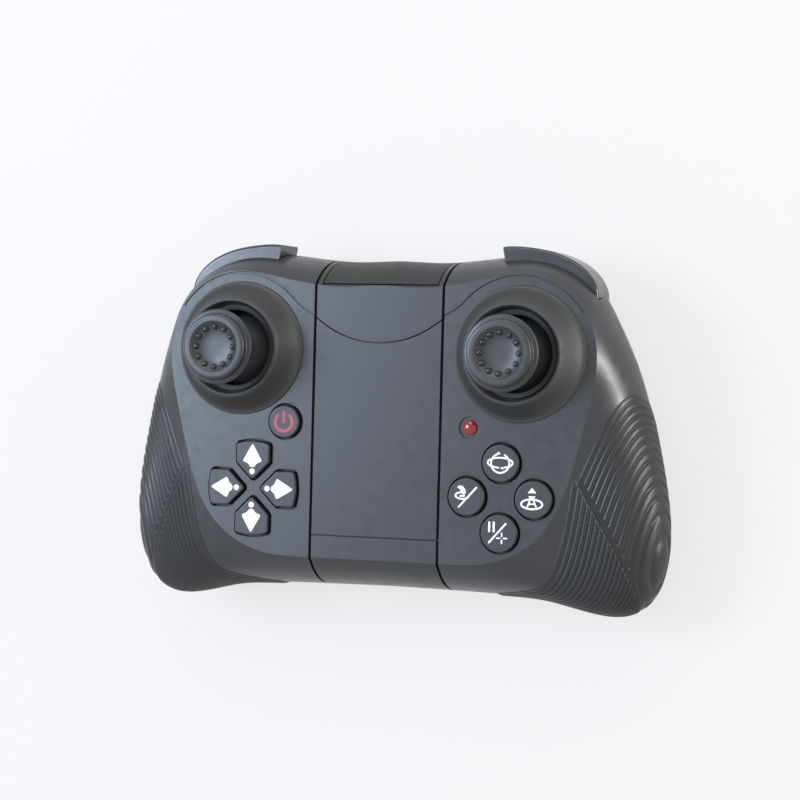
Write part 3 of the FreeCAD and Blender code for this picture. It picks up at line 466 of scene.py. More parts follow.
class CONTROLLER_OT_inner_works(bpy.types.Operator):
    """Finish what lies inside: slides, gimbals, board, battery bay and screws"""
    bl_idname = "controller.inner_works"
    bl_label = "Inner works"

    def execute(self, context):
        _, colours, _ = settings()
        slide = moulded("slide acetal", tuple(colours.slide), 0.38)
        pad = moulded("jaw rubber", tuple(colours.pad), 0.8, grain=0.4 * MM,
                      depth=0.03 * MM, wear=0.1)
        gimbal = moulded("gimbal nylon", tuple(colours.gimbal), 0.5)
        sensor = moulded("sensor housing", tuple(colours.sensor), 0.4)
        chip = moulded("chip resin", tuple(colours.chip), 0.35)
        board = moulded("board lacquer", tuple(colours.board), 0.3, coat=0.3)
        antenna = moulded("antenna sleeve", tuple(colours.antenna), 0.6)
        cell = moulded("battery sleeve", tuple(colours.cell), 0.3, wear=0.1)
        steel = brushed("plated steel", tuple(colours.steel), 0.3)
        spring = brushed("spring steel", tuple(colours.spring), 0.35)
        paint(slide, "clamp_slider", "clamp_carriage", "clamp_guide")
        paint(pad, "seat_pad", "hook_pad")
        paint(steel, "clamp_spring_pin", "shoulder_pivot_pins", "board_screws", "shell_screws",
              "battery_contacts")
        paint(spring, "clamp_spring", "battery_springs")
        paint(chip, "board_chips", "button_switches", "shoulder_switches", "buzzer")
        paint(board, "main_board")
        paint(antenna, "antenna")
        paint(cell, "batteries")
        for side, _ in SIDES:
            paint(gimbal, side + "_gimbal_ring", side + "_gimbal_housing",
                  side + "_stick_shaft")
            paint(sensor, side + "_axle_sensor", side + "_ring_sensor")
        return {"FINISHED"}


CAP_RIM_R = 9.0 * MM
CAP_LIP_DROP = 2.3 * MM     # from the top of the cap to the top of its wider lip
CAP_DISH_R = 7.0 * MM
CAP_DISH_DEPTH = 1.45 * MM
CAP_SOCKET_DEPTH = 2.6 * MM
SHAFT_R = 2.4 * MM
DOT_ROOT = 0.3 * MM         # depth of a dot's foot in the dish


def dish_height(r):
    """Height of the thumb dish at a radius, under its rim: -depth (1 - (r / R)^4)."""
    return -CAP_DISH_DEPTH * (1 - (r / CAP_DISH_R) ** 4)


def cap_profile(radius, low):
    """Mushroom cap in section, from under the dish round the lip to the shaft's socket.

    Up the socket, out under the cap, round the wide lip, up the waist, round the rim,
    then down the bowl of the dish to the axis.  Heights are measured from the top.
    """
    socket = low + CAP_SOCKET_DEPTH
    lip = -CAP_LIP_DROP
    under = rounded([(0, socket), (SHAFT_R, socket), (SHAFT_R, low), (SHAFT_R + 1.2 * MM, low),
                     (radius - 1.7 * MM, low + 1.1 * MM), (radius - 0.1 * MM, lip - 1.3 * MM),
                     (radius, lip), (CAP_RIM_R + 0.1 * MM, lip + 0.2 * MM),
                     (CAP_RIM_R - 0.05 * MM, lip + 0.6 * MM), (CAP_RIM_R, -1.1 * MM),
                     (CAP_RIM_R - 0.2 * MM, 0), (CAP_DISH_R, 0)],
                    [0, 0, 0.5 * MM, 0.8 * MM, 0.6 * MM, 0.5 * MM, 0.3 * MM, 0.2 * MM,
                     0.3 * MM, 0.9 * MM])
    r = np.linspace(CAP_DISH_R, 0, 32)
    dish = np.column_stack([r, dish_height(r)])
    return np.vstack([under[:-1], dish])


def thumb_dots(centre, sizes):
    """Low round dots on a circle in the dish.

    Each is r = R sin(a), z = h cos(a) for a from 0 to a right angle, with its foot sunk
    in the dish; the dots stand at equal angles round the axis.
    """
    a = np.linspace(0, np.pi / 2, 7)
    profile = np.column_stack([sizes.dot_radius * np.sin(a), sizes.dot_height * np.cos(a)])
    profile = np.vstack([(0, -DOT_ROOT), (sizes.dot_radius, -DOT_ROOT), profile[::-1]])
    base = centre.z + float(dish_height(sizes.dot_circle))
    parts = []
    for i in range(sizes.dot_count):
        t = 2 * math.pi * i / sizes.dot_count
        parts.append(turned(profile, (centre.x + sizes.dot_circle * math.cos(t),
                                      centre.y + sizes.dot_circle * math.sin(t), base), 24))
    return merged(parts)


BEZEL_RIM_R = 13.16 * MM
BEZEL_MOUTH_R = 12.5 * MM
BEZEL_BORE_R = 12.2 * MM
BEZEL_SKIRT_T = 0.9 * MM
BEZEL_H = 7.9 * MM          # from the face of the body to the top of the rim
BEZEL_FOOT_T = 0.5 * MM     # upright foot of the flank
BEZEL_FOOT_IN = 0.2 * MM    # how far the flank starts inside the ring's edge
LEDGE_OUTER_R = 11.8 * MM   # ledge in the bore, at the edge of the boot
LEDGE_INNER_R = 10.4 * MM


def bezel_profile(radius, low, high):
    """Flared ring in section: up a flank whose slope grows toward the rim, over a round
    rim, down the mouth, over the ledge and down the bore.

    Flank height is foot + rise (1 - cos(s pi/2))^0.9 for s from 0 at the foot to 1 at
    the rim.
    """
    face = high - BEZEL_H
    s = np.linspace(0, 1, 28)
    start = radius - BEZEL_FOOT_IN
    run = start - BEZEL_RIM_R - 0.7 * MM
    rise = BEZEL_H - 2 * BEZEL_FOOT_T
    flank = np.column_stack([start - run * s, face + BEZEL_FOOT_T
                             + rise * (1 - np.cos(s * np.pi / 2)) ** 0.9])
    rim = rounded([flank[-1], (BEZEL_RIM_R + 0.3 * MM, high), (BEZEL_MOUTH_R + 0.3 * MM, high),
                   (BEZEL_MOUTH_R, high - 0.9 * MM), (BEZEL_MOUTH_R, high - 2.9 * MM),
                   (LEDGE_OUTER_R, high - 3.4 * MM), (LEDGE_OUTER_R, high - 2.6 * MM),
                   (LEDGE_INNER_R, high - 3.0 * MM), (LEDGE_INNER_R, high - 3.9 * MM),
                   (BEZEL_BORE_R, high - 4.5 * MM)],
                  [0.4 * MM, 0.3 * MM, 0.4 * MM, 0, 0, 0.15 * MM, 0.3 * MM, 0.2 * MM])
    skirt = BEZEL_BORE_R + BEZEL_SKIRT_T
    rest = np.array([(BEZEL_BORE_R, low), (skirt, low), (skirt, face), (radius, face)])
    return np.vstack([flank, rim[1:], rest])


def paint_well_shade(piece, centre, material):
    """Painted shade: give the ring's own faces from the ledge inward the boots' darker material,
    so the well looks shaded.
    """
    mesh = piece.data
    mesh.materials.append(material)
    middles = np.empty(len(mesh.polygons) * 3)
    mesh.polygons.foreach_get("center", middles)
    away = middles.reshape(-1, 3)[:, :2] - np.array([centre.x, centre.y])
    # Faces of the ring inside the ledge's outer edge: these get the painted shade.
    inside = np.hypot(away[:, 0], away[:, 1]) < LEDGE_OUTER_R + 0.05 * MM
    mesh.polygons.foreach_set("material_index", inside.astype(np.int32))


class CONTROLLER_OT_sticks(bpy.types.Operator):
    """Build the thumb caps with their dots and the raised rings, and finish the boots"""
    bl_idname = "controller.sticks"
    bl_label = "Sticks"

    def execute(self, context):
        sizes, colours, _ = settings()
        cap = moulded("cap rubber", tuple(colours.cap), 0.4, wear=0.25)
        dots = moulded("polished dots", tuple(colours.dots), 0.16, depth=0.002 * MM)
        bezel = moulded("bezel plastic", tuple(colours.bezel), 0.55)
        # The boots' own colour, also used as painted shade in the rings' inner wells.
        boot = moulded("boot rubber and painted well shade", tuple(colours.boot), 0.6, wear=0.1)
        for side, _ in SIDES:
            body = side + "_stick"
            centre = middle(side + "_stick_cap")
            centre.z = top_of(side + "_stick_cap")
            radius = half_size(side + "_stick_cap").x
            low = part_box(side + "_stick_cap")[0].z - centre.z
            points, faces = turned(cap_profile(radius, low), centre)
            piece = new_piece(side + "_thumb_cap", points, faces, body, cap)
            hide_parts(side + "_stick_cap")
            points, faces = thumb_dots(centre, sizes)
            new_piece(side + "_thumb_dots", points, faces, body, dots)
            centre = middle(side + "_stick_bezel")
            low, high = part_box(side + "_stick_bezel")
            profile = bezel_profile((high.x - low.x) / 2, low.z, high.z)
            points, faces = turned(profile, (centre.x, centre.y, 0), 192)
            piece = new_piece(side + "_stick_ring", points, faces, "case", bezel)
            # Painted shade: the ring's ledge and bore take the darker boot material.
            paint_well_shade(piece, centre, boot)
            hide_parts(side + "_stick_bezel")
            paint(boot, side + "_stick_boot")
        return {"FINISHED"}


# ---- body form, in millimetres from the face and from the middle line -------------------
# Right half of three outlines, from the top middle to the bottom middle: the widest line
# of the body with its height, the crease round the flat face, and the flat of the back.
WIDEST = [(0, 28.7, -18), (21, 28.7, -18), (38, 30.2, -17.5), (50.6, 27, -15),
          (58.7, 20.8, -14.7), (63.6, 12.4, -15.5), (70, -2.3, -17), (75.4, -23, -17.6),
          (78.4, -43, -18.6), (76.3, -58, -19.6), (70.6, -65.4, -19.5), (61.5, -67, -19.2),
          (48.5, -64.1, -18.5), (36, -62.9, -18), (18, -62.5, -18), (0, -62.3, -18)]
CREASE = [(0, 21.2), (20, 21.3), (37, 24.4), (47.5, 23.7), (56.3, 18.1), (60.8, 9.6), (61.6, -2),
          (58.6, -16.5), (55.4, -29), (51.5, -39), (46.5, -46), (40, -50.6), (33, -53.2),
          (25, -54), (12, -54.1), (0, -54.1)]
BACK_FLAT = [(0, 20), (17, 20), (31, 20), (39, 18.5), (43.5, 14.5), (45, 7), (44.5, -2),
             (42.5, -13), (40, -24), (38, -33), (35, -40.5), (31, -46), (26, -50), (19, -52),
             (9, -52.6), (0, -52.6)]
BACK_Z = -30.0
CREASE_ANGLE = math.radians(62)   # slope of the flank where it leaves the flat face
FRONT_RINGS = 5
BACK_RINGS = 7
GRIP_HILL = 17.6                  # how much deeper than the back a grip's middle is
GRIP_MIDDLE = (59.4, -39.0)
GRIP_SPREAD = (12.5, 26.0)
STICK_Y = 3.2                     # y of the sticks' middles


def outline(stations):
    """Closed loop through an outline's stations and the points halfway between them.

    The half outline is a cubic spline on evenly numbered stations, its end slopes those
    of the cubic through the four nearest stations; the other half mirrors it.
    """
    p = np.array([tuple(q) + (0,) * (3 - len(q)) for q in stations], float)
    count = len(p)
    matrix = np.eye(count) * 4 + np.eye(count, k=1) + np.eye(count, k=-1)
    matrix[0] = np.eye(count)[0]
    matrix[-1] = np.eye(count)[-1]
    slopes = np.zeros((count, 3))
    slopes[1:-1] = 3 * (p[2:] - p[:-2])
    slopes[0] = (-11 * p[0] + 18 * p[1] - 9 * p[2] + 2 * p[3]) / 6
    slopes[-1] = (11 * p[-1] - 18 * p[-2] + 9 * p[-3] - 2 * p[-4]) / 6
    slopes = np.linalg.solve(matrix, slopes)
    half = np.empty((2 * count - 1, 3))
    half[::2] = p
    half[1::2] = (p[:-1] + p[1:]) / 2 + (slopes[:-1] - slopes[1:]) / 8
    return np.vstack([half, (half[1:-1] * (-1, 1, 1))[::-1]])


def body_poles():
    """Control points of the body form, loop by loop from the face to the back.

    Front loops follow an ellipse from the crease to the widest line, back loops a quarter
    ellipse from there to the flat of the back, deepened by a smooth hill over each grip.
    Each point moves against a sixth of the loop's bend, so that the form meets the loops.
    """
    widest, face, back = outline(WIDEST), outline(CREASE), outline(BACK_FLAT)
    loops = []
    for angle in CREASE_ANGLE * (1 - np.arange(FRONT_RINGS) / FRONT_RINGS):
        share = (math.cos(angle) - math.cos(CREASE_ANGLE)) / (1 - math.cos(CREASE_ANGLE))
        loop = face + (widest - face) * share
        loop[:, 2] = widest[:, 2] * (1 - math.sin(angle) / math.sin(CREASE_ANGLE))
        loops.append(loop)
    for angle in np.linspace(0, math.pi / 2, BACK_RINGS + 1):
        deep = math.sin(angle)
        loop = back + (widest - back) * math.cos(angle)
        away = (((np.abs(loop[:, 0]) - GRIP_MIDDLE[0]) / GRIP_SPREAD[0]) ** 2
                + ((loop[:, 1] - GRIP_MIDDLE[1]) / GRIP_SPREAD[1]) ** 2)
        hill = GRIP_HILL * np.exp(-away) * deep * (1 - deep ** 8)
        loop[:, 2] = widest[:, 2] + (BACK_Z - widest[:, 2]) * deep - hill
        loops.append(loop)
    loops = np.stack(loops, axis=1)
    bend = np.roll(loops, 1, axis=0) - 2 * loops + np.roll(loops, -1, axis=0)
    return loops - bend / 6


def round_weights(u, count):
    """Weights of the control points round the body: even cubic B-spline, closed."""
    cell = np.floor(u).astype(int)
    t = u - cell
    parts = ((1 - t) ** 3, 3 * t ** 3 - 6 * t ** 2 + 4, -3 * t ** 3 + 3 * t ** 2 + 3 * t + 1,
             t ** 3)
    weights = np.zeros((len(u), count))
    for k, part in enumerate(parts):
        weights[np.arange(len(u)), (cell - 1 + k) % count] = part / 6
    return weights


def across_weights(v, count):
    """Weights of the loops from face to back: cubic B-spline that ends on its end loops,
    by the Cox-de Boor recursion."""
    knots = np.concatenate([[0] * 4, np.arange(1, count - 3), [count - 3] * 4]).astype(float)
    v = v[:, None]
    weights = ((v >= knots[:-1]) & (v < knots[1:])).astype(float)
    for degree in (1, 2, 3):
        span_a = knots[degree:-1] - knots[:-degree - 1]
        span_b = knots[degree + 1:] - knots[1:-degree]
        rise = np.where(span_a > 0, (v - knots[:-degree - 1]) / np.maximum(span_a, 1e-9), 0)
        fall = np.where(span_b > 0, (knots[degree + 1:] - v) / np.maximum(span_b, 1e-9), 0)
        weights = rise * weights[:, :-1] + fall * weights[:, 1:]
    return weights


def step(x, width):
    """0 below zero, 1 beyond the width, smooth between."""
    t = np.clip(x / width, 0, 1)
    return t * t * (3 - 2 * t)


GROOVE_SHARE = 0.17       # half width of a groove, as a share of one ridge
OUTER_PITCH = 0.98        # outer family's step in its own measure, at the middle line
INNER_PITCH = 2.2         # inner family's step in its own measure
OUTER_START = 68.85       # where the first ridge of each family starts, in that measure
INNER_START = 58.0
BAND_FROM, BAND_TO = -0.3, 1.2   # flat band between the families, off the plane they meet in
BAND_LEVEL = 0.55         # height of the band, as a share of a ridge
SEAM_DEPTH = 0.22         # fine groove along the band
SHEET_REST = 0.04         # sheet's height over the body at the foot of the ridges
SHEET_DIP = 0.3           # its depth under the body outside them
RIDGES_END_Z = -33.4
UNDERSIDE = 0.6           # depth of the hidden underside


def tooth(level):
    """Round-topped ridge from 0 to 1 with a narrow groove at each whole step of level:
    1 - exp(-(d / w)^2), d being how far the level is from a whole number and w the
    groove's share of a ridge."""
    share = level - np.floor(level)
    return 1 - np.exp(-(np.minimum(share, 1 - share) / GROOVE_SHARE) ** 2)


def ridge_height(p, sizes):
    """Height of the grip's ridges over the body at points on the right half.

    Two families of ridges meet at a slanting plane.  The outer family is cut by planes
    that fan out round the side of the grip: each has one value of
    (x + 0.37 z - 1.3195 y) / (1 - 0.0135 y).  The inner family is cut by parallel planes
    x - 0.056 y - 1.8 z.  A flat band with a fine groove lies between the families, the
    ridges grow over their first two and a half steps, and outside them the sheet dips
    below the shell.
    """
    x, y, z = p[..., 0], p[..., 1], p[..., 2]
    outer = ((x + 0.37 * z - 1.3195 * y) / (1 - 0.0135 * y) - OUTER_START) / OUTER_PITCH
    inner = (x - 0.056 * y - 1.8 * z - INNER_START) / INNER_PITCH
    side = 0.757 * x + 0.51 * y - 0.405 * z - 27.9
    band = step(side - BAND_FROM, 0.2) * (1 - step(side - BAND_TO, 0.35))
    teeth = np.where(side > 0, tooth(outer), tooth(inner))
    raised = teeth + (BAND_LEVEL - teeth) * band
    groove = SEAM_DEPTH * np.exp(-((side + 0.1) / 0.16) ** 2)
    level = np.where(side > 0, outer, inner)
    grown = step(level, 2.5) * step(z - RIDGES_END_Z - 0.4, 2.5)
    height = SHEET_REST + sizes.ridge_height / MM * (0.35 + 0.65 * grown) * raised - groove
    shown = step(level + 0.12, 0.12) * step(z - RIDGES_END_Z, 0.4)
    return height * shown - SHEET_DIP * (1 - shown)


PATCH_ROWS = 720            # fine cells along a grip
PATCH_SPAN = (11.9, 26.4)   # stretch of the body's loops that the ridges cover
COARSE = 8                  # fine cells in one cell of the hidden underside
# Sheets of a grip from the face to the back: stretch across the loops and fine cells.
GRIP_SHEETS = {"front": ((0.03, 2.6), 128), "side": ((2.6, 4.6), 96), "back": ((4.6, 7.9), 96)}


def even_steps(form, start, stop, count):
    """Values from start to stop whose points are evenly spaced along a line of the form."""
    fine = np.linspace(start, stop, 200)
    path = form(fine)
    length = np.concatenate([[0], np.cumsum(np.linalg.norm(np.diff(path, axis=0), axis=1))])
    return np.interp(np.linspace(0, length[-1], count), length, fine)


def ridged_patch(poles, way, across, columns, sizes):
    """Closed sheet over one grip: the ridged top and a coarse underside inside the shell.

    Point (i, j) is the body form at (u_i, v_j) plus the ridge height along its normal;
    the underside takes one point in eight each way, set in by its depth.
    """
    middle_u = round_weights(np.array([sum(PATCH_SPAN) / 2]), len(poles))
    u = np.linspace(*PATCH_SPAN, PATCH_ROWS + 1)
    v = even_steps(lambda w: np.einsum("ua,vb,abc->vc", middle_u,
                                       across_weights(w, poles.shape[1]), poles),
                   *across, columns + 1)
    form = np.einsum("ua,vb,abc->uvc", round_weights(u, len(poles)),
                     across_weights(v, poles.shape[1]), poles)
    normal = np.cross(np.gradient(form, axis=0), np.gradient(form, axis=1))
    normal /= np.linalg.norm(normal, axis=2, keepdims=True)
    top = form + normal * ridge_height(form, sizes)[..., None]
    under = (form - UNDERSIDE * normal)[::COARSE, ::COARSE]
    rows, cols = under.shape[:2]
    start = top.shape[0] * top.shape[1]
    points = np.vstack([top.reshape(-1, 3), under.reshape(-1, 3)]) * (way, 1, 1)
    faces = grid_faces(*top.shape[:2], False, False)
    for quad in grid_faces(rows, cols, False, False):
        faces.append(tuple(start + corner for corner in quad[::-1]))
    fine = np.arange(start).reshape(top.shape[:2])
    coarse = start + np.arange(rows * cols).reshape(rows, cols)
    for edge, low in ((fine[:, 0], coarse[:, 0]), (fine[-1], coarse[-1]),
                      (fine[::-1, -1], coarse[::-1, -1]), (fine[0, ::-1], coarse[0, ::-1])):
        for k in range(len(low) - 1):
            cell = edge[k * COARSE:(k + 1) * COARSE + 1]
            faces.append([int(low[k]), int(low[k + 1])] + cell[::-1].tolist())
    if way < 0:
        faces = [face[::-1] for face in faces]
    place = (0, middle("right_stick_bezel").y - STICK_Y * MM, top_of("front_shell"))
    return points * MM + np.array(place), faces


class CONTROLLER_OT_grips(bpy.types.Operator):
    """Carve the ridged grip surfaces over the shells"""
    bl_idname = "controller.grips"
    bl_label = "Grip ridges"

    def execute(self, context):
        sizes, colours, _ = settings()
        rubber = moulded("grip plastic", tuple(colours.grip), 0.38, ior=1.45)
        poles = body_poles()
        for side, way in SIDES:
            for part, (across, columns) in GRIP_SHEETS.items():
                points, faces = ridged_patch(poles, way, across, columns, sizes)
                new_piece(side + "_grip_" + part, points, faces, "case", rubber, 60)
        return {"FINISHED"}


# ---- symbols on the buttons, in millimetres from a button's middle ----------------------
LAYER_STEP = 0.006 * MM     # how much higher each shape of a symbol is than the one before


def band_of(path, width, closed=False):
    """A symbol's line: a function from its two heights to its points and faces."""
    return lambda low, high: stroke(np.asarray(path) * MM, width, low, high, closed)


def plate_of(outline, radius=0.0):
    """A symbol's filled shape, its corners rounded, made as band_of makes a line."""
    outline = np.asarray(outline, float) * MM
    if radius:
        outline = rounded_loop(outline, radius * MM)
    return lambda low, high: plate(outline, low, high)


def power_symbol(sizes):
    """Ring open at the top with an upright bar in the opening."""
    r = sizes.power_ring / MM
    ring = arc((0, -0.15), r, r, 134, 406)
    return [band_of(ring, sizes.power_stroke),
            band_of([(0, 2.6), (0, 0.0)], sizes.power_stroke)]


def trim_symbol(sizes):
    """Rounded arrowhead with a short neck, pointing outward, and a dot behind it."""
    head = [(0, 4.6), (-2.95, -0.4), (-1.2, -1.05), (-0.62, -2.05), (0.62, -2.05),
            (1.2, -1.05), (2.95, -0.4)]
    return [plate_of(head, 0.65), plate_of(arc((0, -3.2), 0.8, 0.8, 0, 345, 24))]


def orbit_symbol(sizes):
    """A ball circled by a flat orbit with an arrowhead on each."""
    w = sizes.line
    return [band_of(arc((0, 0.0), 2.55, 2.55, 108, 62 + 360), w),
            band_of(arc((0, 0.15), 3.5, 1.35, -68, 262), w),
            plate_of([(-1.0, 2.05), (0.15, 2.6), (-0.75, 3.15)]),
            plate_of([(0.95, -0.85), (-0.1, -1.25), (0.95, -1.7)])]


def flight_symbol(sizes):
    """A rotor cone over its ring, with a slash beside it."""
    w = sizes.line
    cone = [(-2.6, 2.6), (-1.9, 3.1), (-0.9, 2.9), (-0.1, 1.8), (0.0, 1.0), (-0.6, 0.6),
            (-1.3, 0.9), (-1.6, 1.9)]
    return [plate_of(cone, 0.3), band_of(arc((-1.05, 0.35), 1.9, 0.9, 75, 350), w),
            band_of([(-1.95, -2.7), (2.85, 2.6)], w), band_of([(-1.6, 0.25), (-0.5, 0.3)], w)]


def launch_symbol(sizes):
    """Arrowheads up and down over a round pad."""
    w = sizes.line
    return [plate_of([(-1.55, 1.75), (-0.3, 3.2), (0.95, 1.75)], 0.15),
            plate_of([(-0.3, -0.3), (-1.35, 0.95), (0.75, 0.95)], 0.15),
            band_of(arc((-0.3, -1.2), 2.95, 1.3, 0, 360, 64)[:-1], w, True),
            band_of([(-0.9, -0.4), (-1.5, -1.9)], w * 0.9),
            band_of([(0.3, -0.4), (0.9, -1.9)], w * 0.9),
            band_of([(-1.2, -1.15), (0.6, -1.15)], w * 0.8)]


def pause_symbol(sizes):
    """Two upright bars and a small cross, parted by a slash."""
    w = sizes.line
    cross = np.array([0.95, -1.25])
    arms = []
    for way in ((1, 0), (-1, 0), (0, 1), (0, -1)):
        arm = [cross + 0.55 * np.array(way), cross + 1.35 * np.array(way)]
        arms.append(band_of(arm, w * 0.85))
    return [band_of([(-2.6, 2.9), (-2.6, 0.5)], w * 1.15),
            band_of([(-1.35, 2.9), (-1.35, 0.5)], w * 1.15),
            band_of([(-2.6, -2.5), (2.0, 2.7)], w)] + arms


class CONTROLLER_OT_buttons(bpy.types.Operator):
    """Finish the face buttons and raise their printed symbols"""
    bl_idname = "controller.buttons"
    bl_label = "Face buttons"

    def execute(self, context):
        sizes, colours, _ = settings()
        button = moulded("button plastic", tuple(colours.button), 0.42)
        white = moulded("white print", tuple(colours.print_white), 0.5, mottle=0.03, wear=0)
        red = moulded("red print", tuple(colours.print_red), 0.45, mottle=0.08, wear=0)
        paint(button, "power_button", *TRIMS, *ROUNDS)
        for name, turn in TRIMS.items():
            self.symbol(name, trim_symbol(sizes), white, sizes, turn)
        drawn = {"mode_button": orbit_symbol, "orbit_button": flight_symbol,
                 "camera_button": launch_symbol, "landing_button": pause_symbol}
        for name, draw in drawn.items():
            self.symbol(name, draw(sizes), white, sizes)
        self.symbol("power_button", power_symbol(sizes), red, sizes)
        return {"FINISHED"}

    def symbol(self, button, shapes, material, sizes, turn=0):
        """Shapes drawn about the button's centre, turned and set on its top."""
        centre = middle(button)
        low = top_of(button) - sizes.print_root
        c, s = math.cos(math.radians(turn)), math.sin(math.radians(turn))
        parts = []
        for k, shape in enumerate(shapes):
            high = top_of(button) + sizes.print_height + LAYER_STEP * k
            points, faces = shape(low, high)
            flat = points[:, :2] @ np.array([[c, s], [-s, c]])
            parts.append((np.column_stack([flat + np.array(centre[:2]), points[:, 2]]), faces))
        points, faces = merged(parts)
        new_piece(button.replace("_button", "_symbol"), points, faces, button,
                  material)


class CONTROLLER_OT_shoulders(bpy.types.Operator):
    """Finish the shoulder buttons and the status lamp"""
    bl_idname = "controller.shoulders"
    bl_label = "Shoulder buttons and lamp"

    def execute(self, context):
        _, colours, _ = settings()
        gloss = moulded("shoulder gloss", tuple(colours.shoulder), 0.26, depth=0.001 * MM,
                        coat=0.2)
        paint(gloss, "left_shoulder_button", "right_shoulder_button")
        paint(lamp_resin("lamp resin", tuple(colours.lamp)), "status_led")
        return {"FINISHED"}


class CONTROLLER_OT_battery_door(bpy.types.Operator):
    """Finish the battery door"""
    bl_idname = "controller.battery_door"
    bl_label = "Battery door"

    def execute(self, context):
        _, colours, _ = settings()
        paint(moulded("door plastic", tuple(colours.shell), 0.5), "battery_door")
        return {"FINISHED"}


# Soft lights: name, place in metres, width and height, power in watts and colour.
SOFTBOXES = (("key softbox", (-0.66, 0.16, 0.85), (0.50, 0.50), 11.0, (0.66, 0.79, 1.0)),
             ("top softbox", (0.05, 0.85, 0.65), (0.9, 0.5), 4.0, (1.0, 0.99, 0.97)),
             ("side softbox", (0.85, 0.14, 0.13), (0.5, 0.2), 6.0, (1.0, 0.98, 0.95)))
WORLD_LIGHT = 0.8
FLOOR_REACH = 4.0
FLOOR_PAPER = (0.58, 0.565, 0.54, 1)
FLOOR_GLOW = 0.74     # share of the plain background colour in what a ray sees of the floor


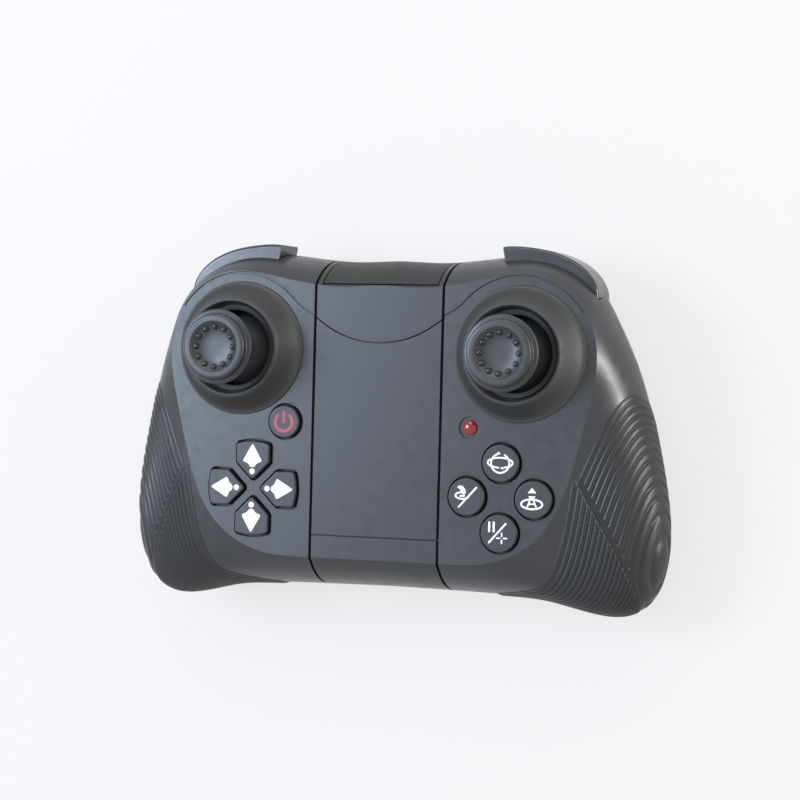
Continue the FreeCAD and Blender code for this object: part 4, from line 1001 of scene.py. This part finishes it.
class CONTROLLER_OT_studio(bpy.types.Operator):
    """Set the pale floor, the soft lights and the camera"""
    bl_idname = "controller.studio"
    bl_label = "Studio"

    def execute(self, context):
        _, _, studio = settings()
        self.floor(studio)
        self.world(studio)
        focus = Vector((0, 0, CAD_BOX[1][2] / 2))
        for name, place, size, power, colour in SOFTBOXES:
            self.softbox(name, place, focus, size, power, colour)
        self.camera(studio)
        return {"FINISHED"}

    def floor(self, studio):
        """Wide level sheet that keeps the shadow and shows the background colour."""
        corners = [(x * FLOOR_REACH, y * FLOOR_REACH, 0)
                   for x, y in ((-1, -1), (1, -1), (1, 1), (-1, 1))]
        mesh = bpy.data.meshes.new("floor")
        mesh.from_pydata(corners, [], [(0, 1, 2, 3)])
        piece = in_scene("floor", mesh)
        material, tree, shader = new_material("floor paper")
        shader.inputs["Base Color"].default_value = FLOOR_PAPER
        shader.inputs["Roughness"].default_value = 0.9
        glow = node(tree, "ShaderNodeEmission")
        glow.inputs["Color"].default_value = (*studio.background, 1)
        mix = node(tree, "ShaderNodeMixShader")
        seen = node(tree, "ShaderNodeMath", operation="MULTIPLY")
        seen.inputs[1].default_value = FLOOR_GLOW
        tree.links.new(self.seen_rays(tree), seen.inputs[0])
        tree.links.new(seen.outputs[0], mix.inputs[0])
        tree.links.new(shader.outputs[0], mix.inputs[1])
        tree.links.new(glow.outputs[0], mix.inputs[2])
        tree.links.new(mix.outputs[0], tree.nodes["Material Output"].inputs["Surface"])
        mesh.materials.append(material)

    def seen_rays(self, tree):
        """1 for rays from the camera, in a mirror or through glass, otherwise 0."""
        path = node(tree, "ShaderNodeLightPath")
        total = path.outputs["Is Camera Ray"]
        for name in ("Is Glossy Ray", "Is Transmission Ray"):
            add = node(tree, "ShaderNodeMath", operation="MAXIMUM")
            tree.links.new(total, add.inputs[0])
            tree.links.new(path.outputs[name], add.inputs[1])
            total = add.outputs[0]
        return total

    def world(self, studio):
        """Even light from all round; rays that see the sky see the background colour."""
        world = bpy.data.worlds.new("studio world")
        bpy.context.scene.world = world
        world.use_nodes = True
        tree = world.node_tree
        light = tree.nodes["Background"]
        light.inputs["Color"].default_value = (1, 1, 1, 1)
        light.inputs["Strength"].default_value = WORLD_LIGHT
        seen = node(tree, "ShaderNodeBackground")
        seen.inputs["Color"].default_value = (*studio.background, 1)
        mix = node(tree, "ShaderNodeMixShader")
        tree.links.new(self.seen_rays(tree), mix.inputs[0])
        tree.links.new(light.outputs[0], mix.inputs[1])
        tree.links.new(seen.outputs[0], mix.inputs[2])
        tree.links.new(mix.outputs[0], tree.nodes["World Output"].inputs["Surface"])

    def softbox(self, name, place, focus, size, power, colour):
        """Rectangular area light that faces the focus."""
        light = bpy.data.lights.new(name, "AREA")
        light.shape = "RECTANGLE"
        light.size, light.size_y = size
        light.energy = power
        light.color = colour
        lamp = in_scene(name, light)
        lamp.location = place
        lamp.rotation_euler = (Vector(place) - focus).to_track_quat("Z", "Y").to_euler()

    def camera(self, studio):
        """Camera on a sphere about its target: yaw toward +X, pitch toward +Y, then a
        roll about its own axis."""
        face = top_of("front_shell")
        target = Vector((studio.aim_x, studio.aim_y, face))
        back = Vector((math.sin(studio.yaw) * math.cos(studio.pitch), math.sin(studio.pitch),
                       math.cos(studio.yaw) * math.cos(studio.pitch)))
        level = Vector((0, 1, 0)).cross(back).normalized()
        upright = back.cross(level)
        c, s = math.cos(studio.roll), math.sin(studio.roll)
        right = c * level + s * upright
        up = -s * level + c * upright
        data = bpy.data.cameras.new("camera")
        data.lens = studio.lens
        data.sensor_width = 36
        data.clip_end = 20
        camera = in_scene("camera", data)
        turn = Matrix((right, up, back)).transposed().to_4x4()
        camera.matrix_world = Matrix.Translation(target + back * studio.distance) @ turn
        bpy.context.scene.camera = camera
        bpy.context.scene.view_settings.view_transform = "Standard"


class CONTROLLER_PT_panel(bpy.types.Panel):
    """Lists the controller's builders and settings"""
    bl_idname = "CONTROLLER_PT_panel"
    bl_label = "Controller"
    bl_space_type = "VIEW_3D"
    bl_region_type = "UI"
    bl_category = "Controller"

    def draw(self, context):
        for operator in OPERATORS:
            self.layout.operator(operator.bl_idname)
        for group in settings():
            for name in group.__annotations__:
                self.layout.prop(group, name)


OPERATORS = (CONTROLLER_OT_shells, CONTROLLER_OT_inner_works, CONTROLLER_OT_sticks,
             CONTROLLER_OT_grips, CONTROLLER_OT_buttons, CONTROLLER_OT_shoulders,
             CONTROLLER_OT_battery_door, CONTROLLER_OT_studio)
GROUPS = (("controller_sizes", ControllerSizes), ("controller_colours", ControllerColours),
          ("controller_studio", ControllerStudio))


def register():
    for name, group in GROUPS:
        bpy.utils.register_class(group)
        setattr(bpy.types.Scene, name, PointerProperty(type=group))
    for kind in OPERATORS + (CONTROLLER_PT_panel,):
        bpy.utils.register_class(kind)


def unregister():
    for kind in reversed(OPERATORS + (CONTROLLER_PT_panel,)):
        bpy.utils.unregister_class(kind)
    for name, group in reversed(GROUPS):
        delattr(bpy.types.Scene, name)
        bpy.utils.unregister_class(group)


def main():
    register()
    bpy.ops.controller.shells()
    bpy.ops.controller.inner_works()
    bpy.ops.controller.sticks()
    bpy.ops.controller.grips()
    bpy.ops.controller.buttons()
    bpy.ops.controller.shoulders()
    bpy.ops.controller.battery_door()
    bpy.ops.controller.studio()


if __name__ == "__main__":
    main()
